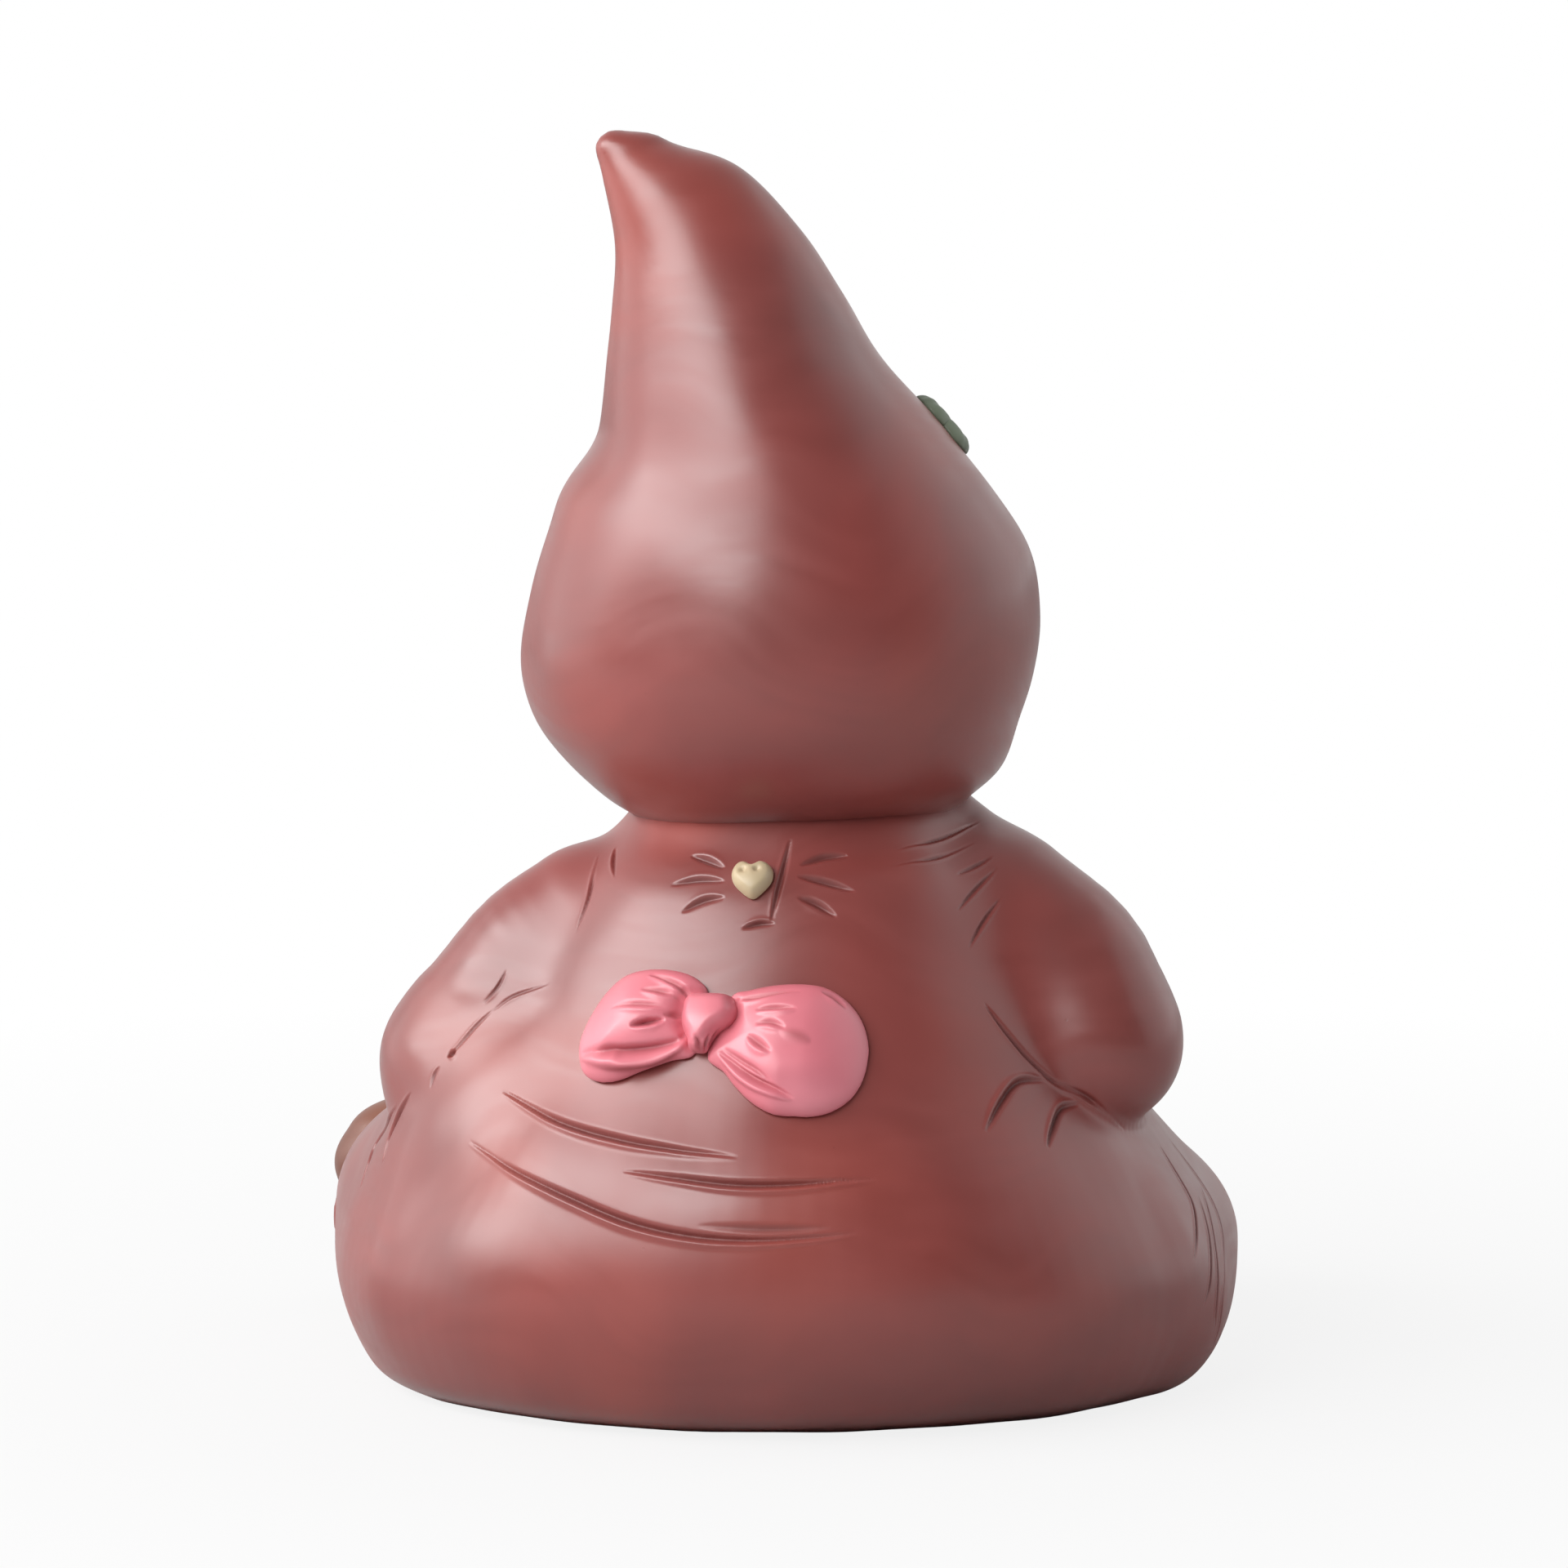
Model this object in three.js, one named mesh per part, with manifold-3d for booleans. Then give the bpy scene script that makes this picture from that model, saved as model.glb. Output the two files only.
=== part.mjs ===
// Seated nisse figure in hand-built, hollow, painted clay, as the separate pieces that a potter joins with slip.
// Millimetres, +Z up. The figure faces -Y and its left hand is on +X. The origin is the middle of the flat base.
import * as THREE from "three";
import { mergeVertices } from "three/addons/utils/BufferGeometryUtils.js";
import Module from "manifold-3d";

const wasm = await Module();
wasm.setup();

// Clay
const wall = 5; // thickness of the hollow pieces
const slipJoint = 0.3; // gap between two pieces, which the slip fills
const ventRadius = 5; // kiln vent through the base
const ventBehind = 20; // from the axis to the vent's middle

// Body, from the floor up: each section's rise above the one below, its half-width, and its reach behind and
// before the axis
const bodySections = {
  floor: { rise: 0, side: 47, back: 33, front: 29 },
  edge: { rise: 4, side: 53, back: 41, front: 32 },
  seat: { rise: 12, side: 56, back: 47, front: 34 },
  hip: { rise: 14, side: 49, back: 45, front: 33 },
  waist: { rise: 13, side: 40.5, back: 38, front: 30.5 },
  chest: { rise: 13, side: 34, back: 31.5, front: 26.5 },
  collar: { rise: 10, side: 28.5, back: 26.5, front: 22.5 },
  neck: { rise: 5, side: 23, back: 22, front: 19 },
  top: { rise: 4, side: 20, back: 19, front: 17 },
};
const neckAside = 1.9; // how far the neck stands to the right

// Folds pressed into the back: each point's degrees round from the middle of the back to the left, and its height
// above the hip, with the tool's radius
const foldRadius = 1.1;
const foldPaths = {
  upper: [[65, 11.5], [48, 8.5], [35, 6.3], [21, 5], [10, 4.8]],
  middle: [[27, 2.5], [16, 1.2], [4, 0.2], [-6, 0.2], [-14, 1.3]],
  lower: [[64, 5.5], [46, 0.5], [32, -3], [19, -5.6], [6, -6.4], [-10, -5.4]],
};

// Clay tube that keys the head to the body and lets the head's hollow breathe into the body's
const tubeRadius = 6;
const tubeBore = 3;
const tubeLength = 26;

// Head, in its own frame, which stands on the neck and leans to the left
const headLean = 4.5; // degrees
const neckSink = 3; // how far the hood comes down over the neck
const hemRise = 1.4; // from there up to the hem's section
const headHalf = { side: 26, depth: 25, height: 21.5 };
const headForward = 5;
const cheekHalf = { side: 8.5, depth: 6.8, height: 7.2 };
const cheekApart = 12.5;
const cheekDrop = 5;
const noseHalf = { side: 4.4, height: 4 };
const eyeHalf = { side: 2.2, height: 2.6 };
const eyeApart = 8.2;
const eyeRise = 4.5;
const smile = { halfWidth: 7, drop: 5.6, groove: 0.7, halfTurn: 60 }; // the arc's half-turn is in degrees
const headWall = 7.5; // thickness of the head round its hollow
const faceRim = { side: 5.5, height: 2.5 }; // from the head's outline to the hood's opening
const faceDepth = 9; // from the head's foremost point back to the opening's narrowest ring
// The opening's rounded edge: how far behind that ring each section lies, and how much wider it is than the ring
const faceFlare = [
  { behind: -32, widen: 4 },
  { behind: -5.3, widen: 0 },
  { behind: 0, widen: 0 },
  { behind: 4, widen: -6 },
];

// Hood round the head, from the hem up: each section's share of the head's height, how far its middle lies to the
// left and back of the neck, and how far it stands out from the head's half-width and half-depth
const hoodBulb = {
  hem: { share: 0, aside: -1.2, behind: 0.5, side: -5.8, depth: -8 },
  under: { share: 0.09, aside: -1, behind: 0.8, side: -0.8, depth: -2.5 },
  nape: { share: 0.23, aside: 0.2, behind: 1.2, side: 3.1, depth: 2 },
  ear: { share: 0.36, aside: 0.7, behind: 1.5, side: 5.7, depth: 4.3 },
  widest: { share: 0.52, aside: 0.5, behind: 1.5, side: 6.8, depth: 5 },
  temple: { share: 0.71, aside: -0.2, behind: 1.7, side: 5.6, depth: 3.8 },
  brow: { share: 0.89, aside: 0.2, behind: 2.2, side: 2.2, depth: 0.5 },
};

// Peak of the hood: each section's rise above the one below, its middle to the left and back, and its half sizes
const hoodPeak = {
  crown: { rise: 8.2, aside: 0.5, behind: 2.8, side: 22.9, depth: 21 },
  cone: { rise: 10.2, aside: 2.5, behind: 3.3, side: 17.4, depth: 16.8 },
  bend: { rise: 8.3, aside: 3.8, behind: 3.7, side: 14.5, depth: 13.4 },
  curl: { rise: 8.4, aside: 5.6, behind: 3.8, side: 11.7, depth: 9.8 },
  peak: { rise: 8.5, aside: 9.6, behind: 3.6, side: 8.6, depth: 5.4 },
  tip: { rise: 3.8, aside: 14.4, behind: 3.4, side: 4.6, depth: 2.6 },
};
const hoodTipDome = 1.4;

// Arms: a sleeve from shoulder to elbow, and another from elbow to wrist. The right shoulder and elbow are raised
const sleeveRadius = { shoulder: 7.5, upper: 9.3, elbow: 10.8, bend: 10.4, forearm: 10, cuff: 8.6 };
const shoulderIn = { left: 8.5, right: 4.5 }; // from the chest's side to the shoulder's middle
const shoulderRise = { left: 5, right: 6 }; // from the chest up
const upperArmLift = 2; // how far the upper arm bows up between them
const elbowIn = { left: 0.7, right: 1.2 }; // from the waist's side to the elbow's middle
const elbowRise = { left: -1, right: 2.5 }; // from the waist up
const armBack = { left: 6, right: 11 }; // how far each elbow lies towards the back
const wristForward = 33;
const wristIn = 2;
const wristDrop = { left: 1.9, right: 5.4 }; // from the elbow down

// Hands, laid on the shins
const handDrop = 2.5; // from the wrist's middle to the palm's
const handBend = 20; // degrees, down
const handTurn = 8; // degrees, out
const palm = { side: 6.6, thick: 4.6, length: 7.5 };
const fingerRadius = 2.05;
const fingerPitch = 3.3; // from one finger to the next, at the knuckles
const fingerSplay = 1.15; // how much wider apart the tips are
const fingerLength = 7.5;
const outerFingerTrim = 0.1; // share of its length that a finger loses for each place from the hand's middle
const thumbRadius = 2.2;
const fingerDrop = 2.6; // from the palm's middle to the fingertips'

// Legs, from the hip out to the ankle
const thighRadius = { side: 24, up: 17.5, down: 22 };
const kneeRadius = { side: 20.3, up: 16.5, down: 21 };
const shinRadius = { side: 15.5, up: 13, down: 16.5 };
const ankleRadius = { side: 11.5, up: 10, down: 13 };
const legLift = { left: 1, right: 0.87 }; // share of these heights, because the right leg lies lower
const floorTrim = 1; // cut off below, so that a leg lies flat
const hipIn = 29.5; // from the seat's side to the thigh's middle
const kneeIn = 18;
const ankleOut = { left: 9.5, right: 1 }; // from the knee's middle to the ankle's
const hipForward = -4;
const kneeForward = 17;
const ankleForward = 42;

// Shoes, standing on their heels with the toes up: each section's share of the height, its half-width and its
// share of the depth
const shoeHeight = 27;
const shoeHalfDepth = 7.5;
const shoeProfile = [
  { up: 0.13, side: 9, share: 0.9 },
  { up: 0.4, side: 8.8, share: 1 },
  { up: 0.7, side: 11, share: 0.95 },
  { up: 0.88, side: 9.4, share: 0.8 },
];
const shoeEndDome = 4.5;
const soleThickness = 2.6;
const soleInset = 0.9; // from the shoe's side in to the sole's
const shoeTurn = { left: 14, right: 12 }; // degrees, toes out
const shoeLean = 6; // degrees, toes forward

// Heart button at the nape
const buttonWidth = 5.2;
const buttonHeight = 4.8;
const buttonThickness = 2.2;
const buttonRounding = { thickness: 0.5, size: 0.35 };
const dimpleRadius = 0.6;
const dimpleRise = 0.8; // from the button's face out to the middle of the ball that presses a dimple
const buttonPlace = { around: 12.5, above: 1 }; // degrees round from the back, and above the collar

// Bow on the back: for each loop the places along it (degrees round, above the waist), with its half-height and
// its thickness there
const bowLoops = {
  left: [
    { around: 19.5, above: 8.3, halfHeight: 4, thickness: 3.6 },
    { around: 26, above: 9, halfHeight: 5.4, thickness: 4.8 },
    { around: 34.5, above: 8.7, halfHeight: 6.7, thickness: 5 },
    { around: 42, above: 6.8, halfHeight: 5.8, thickness: 3.8 },
  ],
  right: [
    { around: 15, above: 7.2, halfHeight: 4.6, thickness: 3.6 },
    { around: 8, above: 6.3, halfHeight: 6.8, thickness: 5 },
    { around: -0.5, above: 5, halfHeight: 8, thickness: 5.4 },
    { around: -8, above: 4.3, halfHeight: 7.2, thickness: 4.4 },
  ],
};
const bowEndDome = 3.4;
const knotPlace = { around: 17.5, above: 8 };
const knotHalf = { side: 3.4, height: 3.9, thick: 6 };

// Two leaves on the hood's right side, each from the sprig's middle outwards
const leafLength = 7.5;
const leafHalfWidth = 3;
const leafThickness = 2;
const sprigPlace = { forward: 0.02, above: 10 }; // share of the head's half-depth, and rise above the hood's brow
const leafAngles = { upper: 76, lower: -80 }; // degrees from straight forward, seen from the right

// Mesh detail
const bodySides = 32;
const hoodSides = 30;
const limbSides = 16;
const smallSides = 12;

const xAxis = new THREE.Vector3(1, 0, 0);
const yAxis = new THREE.Vector3(0, 1, 0);
const zAxis = new THREE.Vector3(0, 0, 1);
const turn = THREE.MathUtils.degToRad;

const paint = (color, roughness) => new THREE.MeshStandardMaterial({ color, roughness, metalness: 0 });
const suitPaint = paint(0x93463f, 0.5);
const skinPaint = paint(0xdba889, 0.55);
const shoePaint = paint(0x7c4028, 0.4);
const solePaint = paint(0x4a2c20, 0.6);
const bowPaint = paint(0xe8808f, 0.4);
const buttonPaint = paint(0xd9cba2, 0.45);
const leafPaint = paint(0x6f8069, 0.5);
const eyeGlaze = paint(0x16110f, 0.12);
const bareClay = paint(0xb98a6a, 0.9);

// Closed skin through cross-sections. A section has its centre, its half-width along u, and its reach over and under
// the centre along v, where u is reference x path and v is path x u. A level skin keeps its sections flat, with v
// towards the back. A dome rounds off an end.
function loft(sections, options) {
  const { sides, steps = 2, reference = yAxis, level = false, startDome = 0, endDome = 0 } = options;
  const samples = sections.flatMap((s) => [...s.at, s.side, s.over, s.under]);
  const stride = samples.length / sections.length;
  const curve = new THREE.CubicInterpolant(sections.map((s, i) => i), samples, stride);
  const valuesAt = (t) => [...curve.evaluate(t)];
  const last = sections.length - 1;
  const rings = [];
  const ringCount = last * steps;
  for (let i = 0; i <= ringCount; i++) {
    const t = i / steps;
    const here = valuesAt(t);
    const before = valuesAt(Math.max(0, t - 0.01));
    const after = valuesAt(Math.min(last, t + 0.01));
    const along = new THREE.Vector3(...after.slice(0, 3)).sub(new THREE.Vector3(...before.slice(0, 3)));
    const path = level ? zAxis.clone() : along.normalize();
    rings.push({ centre: new THREE.Vector3(...here.slice(0, 3)), path, reach: here.slice(3) });
  }
  const domed = (ring, depth, sign) => [30, 60].map((angle) => ({
    centre: ring.centre.clone().addScaledVector(ring.path, sign * depth * Math.sin(turn(angle))),
    path: ring.path,
    reach: ring.reach.map((r) => r * Math.cos(turn(angle))),
  }));
  const first = rings[0];
  const end = rings[ringCount];
  const startPole = first.centre.clone().addScaledVector(first.path, -startDome);
  const endPole = end.centre.clone().addScaledVector(end.path, endDome);
  if (startDome) rings.unshift(...domed(first, startDome, -1).reverse());
  if (endDome) rings.push(...domed(end, endDome, 1));

  const positions = [];
  for (const { centre, path, reach } of rings) {
    const u = level ? xAxis : reference.clone().cross(path).normalize();
    const v = path.clone().cross(u);
    for (let j = 0; j < sides; j++) {
      const angle = (2 * Math.PI * j) / sides;
      const across = Math.cos(angle) * reach[0];
      const over = Math.sin(angle) * (Math.sin(angle) > 0 ? reach[1] : reach[2]);
      positions.push(...centre.clone().addScaledVector(u, across).addScaledVector(v, over).toArray());
    }
  }
  positions.push(...startPole.toArray(), ...endPole.toArray());
  const startIndex = rings.length * sides;
  const topRing = (rings.length - 1) * sides;
  const faces = [];
  for (let j = 0; j < sides; j++) {
    const next = (j + 1) % sides;
    faces.push(startIndex, next, j);
    faces.push(startIndex + 1, topRing + j, topRing + next);
    for (let i = 0; i < rings.length - 1; i++) {
      const low = i * sides;
      const high = low + sides;
      faces.push(low + j, low + next, high + next, low + j, high + next, high + j);
    }
  }
  return new THREE.BufferGeometry()
    .setAttribute("position", new THREE.Float32BufferAttribute(positions, 3))
    .setIndex(faces);
}

const bodyTop = Object.values(bodySections).reduce((height, { rise }) => height + rise, 0);

const asideAt = (height) => -neckAside * (height / bodyTop) ** 2;

// The body's sections, each standing on the one below
function bodyLevels() {
  let height = 0;
  return Object.values(bodySections).map(({ rise, side, back, front }) => {
    height += rise;
    return { at: [asideAt(height), 0, height], side, over: back, under: front };
  });
}

const inset = (section, by) => ({
  ...section,
  side: section.side - by,
  over: section.over - by,
  under: section.under - by,
});

const round = (at, radius) => ({ at, side: radius, over: radius, under: radius });

function ellipsoid(half, segments = 12) {
  return new THREE.SphereGeometry(1, segments, Math.round(segments * 0.6)).scale(...half);
}

function solidOf(geometry, matrix = new THREE.Matrix4()) {
  const bare = geometry.clone().applyMatrix4(matrix);
  bare.deleteAttribute("normal");
  bare.deleteAttribute("uv");
  const merged = mergeVertices(bare, 1e-4);
  return new wasm.Manifold(
    new wasm.Mesh({
      numProp: 3,
      vertProperties: new Float32Array(merged.attributes.position.array),
      triVerts: new Uint32Array(merged.index.array),
    }),
  );
}

function geometryOf(solid) {
  const mesh = solid.getMesh();
  return new THREE.BufferGeometry()
    .setAttribute("position", new THREE.Float32BufferAttribute(mesh.vertProperties, 3))
    .setIndex([...mesh.triVerts]);
}

// The solid with its surface moved out by a distance, for cutting a seat that leaves that gap
function swollen(solid, distance) {
  const geometry = geometryOf(solid);
  geometry.computeVertexNormals();
  const { position, normal } = geometry.attributes;
  for (let i = 0; i < position.count; i++) {
    const moved = [position.getX(i), position.getY(i), position.getZ(i)].map(
      (value, axis) => value + distance * normal.getComponent(i, axis),
    );
    position.setXYZ(i, ...moved);
  }
  return solidOf(geometry);
}

const figure = new THREE.Group();
const head = new THREE.Group();
head.position.set(-neckAside, 0, bodyTop - neckSink);
head.rotation.y = turn(headLean);
figure.add(head);

function addPiece(name, geometry, material, parent = figure) {
  const mesh = new THREE.Mesh(geometry, material);
  mesh.name = name;
  parent.add(mesh);
  return mesh;
}

function placeOf(object) {
  object.updateWorldMatrix(true, false);
  return object.matrixWorld;
}

const worldSolid = (mesh) => solidOf(mesh.geometry, placeOf(mesh));

// Cuts the solids out of a mesh, in the figure's frame, and keeps its largest body
function carve(mesh, ...cutters) {
  const cut = cutters.reduce((left, cutter) => left.subtract(cutter), worldSolid(mesh));
  const largest = cut.decompose().reduce((a, b) => (a.volume() > b.volume() ? a : b));
  mesh.geometry = geometryOf(largest).applyMatrix4(placeOf(mesh).clone().invert());
}

const seatFor = (solid) => swollen(solid, slipJoint);
const joined = (...geometries) => geometryOf(geometries.map((g) => solidOf(g)).reduce((a, b) => a.add(b)));

const cylinder = (radius, length) => new THREE.CylinderGeometry(radius, radius, length, 20).rotateX(Math.PI / 2);

const rays = new THREE.Raycaster();
function onSurface(mesh, from, direction) {
  placeOf(mesh);
  rays.set(from, direction);
  const [hit] = rays.intersectObject(mesh);
  return { point: hit.point, normal: hit.face.normal.clone().transformDirection(mesh.matrixWorld) };
}

const farOut = 200;
const backwards = (degrees) => new THREE.Vector3(Math.sin(turn(degrees)), Math.cos(turn(degrees)), 0);

const underFloor = solidOf(new THREE.BoxGeometry(farOut, farOut, farOut).translate(0, 0, -farOut / 2));

// Body shell
const levels = bodyLevels();
const levelOf = (name) => levels[Object.keys(bodySections).indexOf(name)].at[2];
const body = addPiece("body_shell", loft(levels, { sides: bodySides, level: true }), suitPaint);
const bodyOuter = worldSolid(body);
const bodySeat = seatFor(bodyOuter);

function bodyCavity() {
  const inner = levels.slice(0, -1).map((section) => inset(section, wall));
  const low = { ...inner[0], at: [0, 0, wall] };
  const above = inner.filter((section) => section.at[2] > 2 * wall);
  return solidOf(loft([low, ...above], { sides: limbSides, steps: 1, level: true, endDome: wall }));
}

const vent = () => solidOf(cylinder(ventRadius, 3 * wall).translate(0, ventBehind, 0));

// The spot on the body's outside that many degrees round from the middle of its back
function onBack(degrees, height) {
  const outward = backwards(degrees);
  const from = new THREE.Vector3(asideAt(height), 0, height).addScaledVector(outward, farOut);
  return onSurface(body, from, outward.negate());
}

function foldTool(path) {
  const sections = path.map(([degrees, above], i) => {
    const tapered = i === 0 || i === path.length - 1;
    const { point } = onBack(degrees, levelOf("hip") + above);
    return round(point.toArray(), tapered ? foldRadius / 4 : foldRadius);
  });
  return solidOf(loft(sections, { sides: 8 }));
}

const tubePlace = new THREE.Matrix4().makeTranslation(-neckAside, 0, bodyTop);
const tubeSocket = solidOf(cylinder(tubeRadius + slipJoint, tubeLength + 2 * slipJoint), tubePlace);
const tube = solidOf(cylinder(tubeRadius, tubeLength)).subtract(solidOf(cylinder(tubeBore, 2 * tubeLength)));
addPiece("neck_tube", geometryOf(tube), bareClay).applyMatrix4(tubePlace);

const foldTools = Object.values(foldPaths).map(foldTool);

// Legs, hollow and open towards the body
function legSections(side, sign) {
  const kneeX = bodySections.seat.side - kneeIn;
  const shinForward = (kneeForward + ankleForward) / 2;
  const section = (across, forward, r) => ({
    at: [sign * across, -forward, r.down * legLift[side] - floorTrim],
    side: r.side,
    over: r.up * legLift[side],
    under: r.down * legLift[side],
  });
  return [
    section(bodySections.seat.side - hipIn, hipForward, thighRadius),
    section(kneeX, kneeForward, kneeRadius),
    section(kneeX + ankleOut[side] / 2, shinForward, shinRadius),
    section(kneeX + ankleOut[side], ankleForward, ankleRadius),
  ];
}

const hands = { left: 1, right: -1 };
const legs = {};
for (const [side, sign] of Object.entries(hands)) {
  const sections = legSections(side, sign);
  const outline = { sides: limbSides, reference: zAxis, startDome: wall, endDome: wall };
  const leg = addPiece(`${side}_leg`, loft(sections, outline), suitPaint);
  const inner = sections.slice(0, -1).map((section) => inset(section, wall));
  const hollow = loft(inner, { ...outline, sides: smallSides });
  const outer = worldSolid(leg).subtract(underFloor);
  carve(leg, underFloor, bodySeat, solidOf(hollow));
  legs[side] = { outer, seat: seatFor(outer), ankle: sections.at(-1).at };
}

// Shoes, each with a sole
function shoeSections(forward, inset, depth) {
  return shoeProfile.map(({ up, side, share }) => ({
    at: [0, -forward, up * shoeHeight],
    side: side - inset,
    over: depth * share,
    under: depth * share,
  }));
}

for (const [side, sign] of Object.entries(hands)) {
  const shoeFrame = new THREE.Group();
  const { ankle } = legs[side];
  shoeFrame.position.set(ankle[0], ankle[1] - shoeHalfDepth, 0);
  shoeFrame.rotation.set(turn(shoeLean), 0, sign * turn(shoeTurn[side]));
  figure.add(shoeFrame);
  const outline = { sides: limbSides, level: true, startDome: shoeEndDome, endDome: shoeEndDome };
  const upper = loft(shoeSections(0, 0, shoeHalfDepth), outline);
  const shoe = addPiece(`${side}_shoe`, upper, shoePaint, shoeFrame);
  const soleSections = shoeSections(shoeHalfDepth, soleInset, soleThickness);
  const sole = addPiece(`${side}_sole`, loft(soleSections, outline), solePaint, shoeFrame);
  legs[side].shoe = worldSolid(shoe);
  carve(shoe, underFloor, legs[side].seat, bodySeat);
  carve(sole, underFloor, seatFor(legs[side].shoe));
}

// Arms and hands
function armSpots(side, sign) {
  const { chest, waist } = bodySections;
  const back = armBack[side];
  const midway = (from, to) => from.map((value, axis) => (value + to[axis]) / 2);
  const shoulder = [sign * (chest.side - shoulderIn[side]), back / 2, levelOf("chest") + shoulderRise[side]];
  const elbow = [sign * (waist.side - elbowIn[side]), back, levelOf("waist") + elbowRise[side]];
  const wrist = [elbow[0] - sign * wristIn, -wristForward, elbow[2] - wristDrop[side]];
  const upper = midway(shoulder, elbow);
  upper[2] += upperArmLift;
  return { shoulder, upper, elbow, forearm: midway(elbow, wrist), wrist };
}

function armGeometry({ shoulder, upper, elbow, forearm, wrist }) {
  const r = sleeveRadius;
  const above = [round(shoulder, r.shoulder), round(upper, r.upper), round(elbow, r.elbow)];
  const below = [round(elbow, r.bend), round(forearm, r.forearm), round(wrist, r.cuff)];
  return joined(
    loft(above, { sides: limbSides, steps: 3, startDome: r.shoulder, endDome: r.elbow }),
    loft(below, { sides: limbSides, reference: zAxis, startDome: r.forearm }),
  );
}

function fingerGeometry(from, to, radius) {
  const middle = from.map((value, axis) => (value + to[axis]) / 2);
  const sections = [from, middle, to].map((at) => round(at, radius));
  return loft(sections, { sides: 7, steps: 1, reference: zAxis, startDome: radius, endDome: radius });
}

function handGeometry(sign) {
  const fingers = [-1.5, -0.5, 0.5, 1.5].map((place) => {
    const across = place * fingerPitch;
    const reach = palm.length + fingerLength * (1 - outerFingerTrim * Math.abs(place));
    const tip = [across * fingerSplay, -reach, -fingerDrop];
    return fingerGeometry([across, -palm.length / 2, 0], tip, fingerRadius);
  });
  const thumbEnd = [-sign * (palm.side + thumbRadius), -palm.length - thumbRadius / 2, -fingerDrop / 2];
  const thumb = fingerGeometry([(-sign * palm.side) / 2, 0, 0], thumbEnd, thumbRadius);
  return joined(ellipsoid([palm.side, palm.length, palm.thick], 12), thumb, ...fingers);
}

for (const [side, sign] of Object.entries(hands)) {
  const spots = armSpots(side, sign);
  const arm = addPiece(`${side}_arm`, armGeometry(spots), suitPaint);
  const armOuter = worldSolid(arm);
  carve(arm, bodySeat, legs[side].seat);
  const hand = addPiece(`${side}_hand`, handGeometry(sign), skinPaint);
  hand.position.set(spots.wrist[0], spots.wrist[1] - palm.length / 2, spots.wrist[2] - handDrop);
  hand.rotation.set(turn(handBend), 0, turn(sign * handTurn));
  carve(hand, seatFor(armOuter), legs[side].seat, seatFor(legs[side].shoe));
}

// Head, with its cheeks, smile, nose and eyes
const headMiddle = [0, -headForward, headHalf.height + neckSink];
const cheekHeight = headMiddle[2] - cheekDrop;
const faceY = (x, z) => {
  const across = x / headHalf.side;
  const over = (z - headMiddle[2]) / headHalf.height;
  return headMiddle[1] - headHalf.depth * Math.sqrt(1 - across * across - over * over);
};

function headGeometry() {
  const skull = ellipsoid([headHalf.side, headHalf.depth, headHalf.height], 24).translate(...headMiddle);
  const cheeks = [-cheekApart, cheekApart].map((x) =>
    ellipsoid([cheekHalf.side, cheekHalf.depth, cheekHalf.height], 14).translate(
      x,
      faceY(x, cheekHeight) + cheekHalf.side / 2,
      cheekHeight,
    ),
  );
  return joined(skull, ...cheeks);
}

function smileTool() {
  const sections = [-1, -0.5, 0, 0.5, 1].map((share) => {
    const x = smile.halfWidth * Math.sin(turn(share * smile.halfTurn));
    const z = cheekHeight - smile.drop * Math.cos(turn(share * smile.halfTurn));
    return round([x, faceY(x, z), z], smile.groove * (1 - Math.abs(share) / 2));
  });
  return solidOf(loft(sections, { sides: 8 }), placeOf(head));
}

const headBall = addPiece("head", headGeometry(), skinPaint, head);
const headOuter = worldSolid(headBall);
const headSeat = seatFor(headOuter);
const hollowHalf = [headHalf.side, headHalf.depth, headHalf.height].map((half) => half - headWall);
const headHollow = solidOf(ellipsoid(hollowHalf).translate(...headMiddle), placeOf(head));

const noseBall = ellipsoid([noseHalf.side, noseHalf.side, noseHalf.height], 14);
const nose = addPiece("nose", noseBall, skinPaint, head);
nose.position.set(0, faceY(0, headMiddle[2]) - noseHalf.side / 3, headMiddle[2]);
carve(nose, headSeat);
for (const [side, sign] of Object.entries(hands)) {
  const bead = ellipsoid([eyeHalf.side, eyeHalf.side, eyeHalf.height], 12);
  const eye = addPiece(`${side}_eye`, bead, eyeGlaze, head);
  const eyeHeight = headMiddle[2] + eyeRise;
  eye.position.set(sign * eyeApart, faceY(eyeApart, eyeHeight) - eyeHalf.side / 4, eyeHeight);
  carve(eye, headSeat);
}
carve(headBall, bodySeat, tubeSocket, headHollow, smileTool());

// Hood
function hoodLevels() {
  const bulb = Object.values(hoodBulb).map(({ share, aside, behind, side, depth }) => ({
    at: [aside, behind, share * 2 * headHalf.height + hemRise],
    side: headHalf.side + side,
    over: headHalf.depth + depth,
    under: headHalf.depth + depth,
  }));
  let height = bulb.at(-1).at[2];
  const peak = Object.values(hoodPeak).map(({ rise, aside, behind, side, depth }) => {
    height += rise;
    return { at: [aside, behind, height], side, over: depth, under: depth };
  });
  return { bulb, peak };
}

const { bulb, peak } = hoodLevels();
const hoodOutline = { sides: hoodSides, level: true, startDome: neckSink, endDome: hoodTipDome };
const hood = addPiece("hood", loft([...bulb, ...peak], hoodOutline), suitPaint, head);
const hoodOuter = worldSolid(hood);

// The face's opening, flared at the front so that its edge is rounded
function faceOpening() {
  const ring = headMiddle[1] - headHalf.depth + faceDepth;
  const sections = faceFlare.map(({ behind, widen }) => ({
    at: [0, ring + behind, headMiddle[2]],
    side: headHalf.side - faceRim.side + widen,
    over: headHalf.height - faceRim.height + widen,
    under: headHalf.height - faceRim.height + widen,
  }));
  return solidOf(loft(sections, { sides: 28, reference: zAxis.clone().negate() }), placeOf(head));
}

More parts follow.
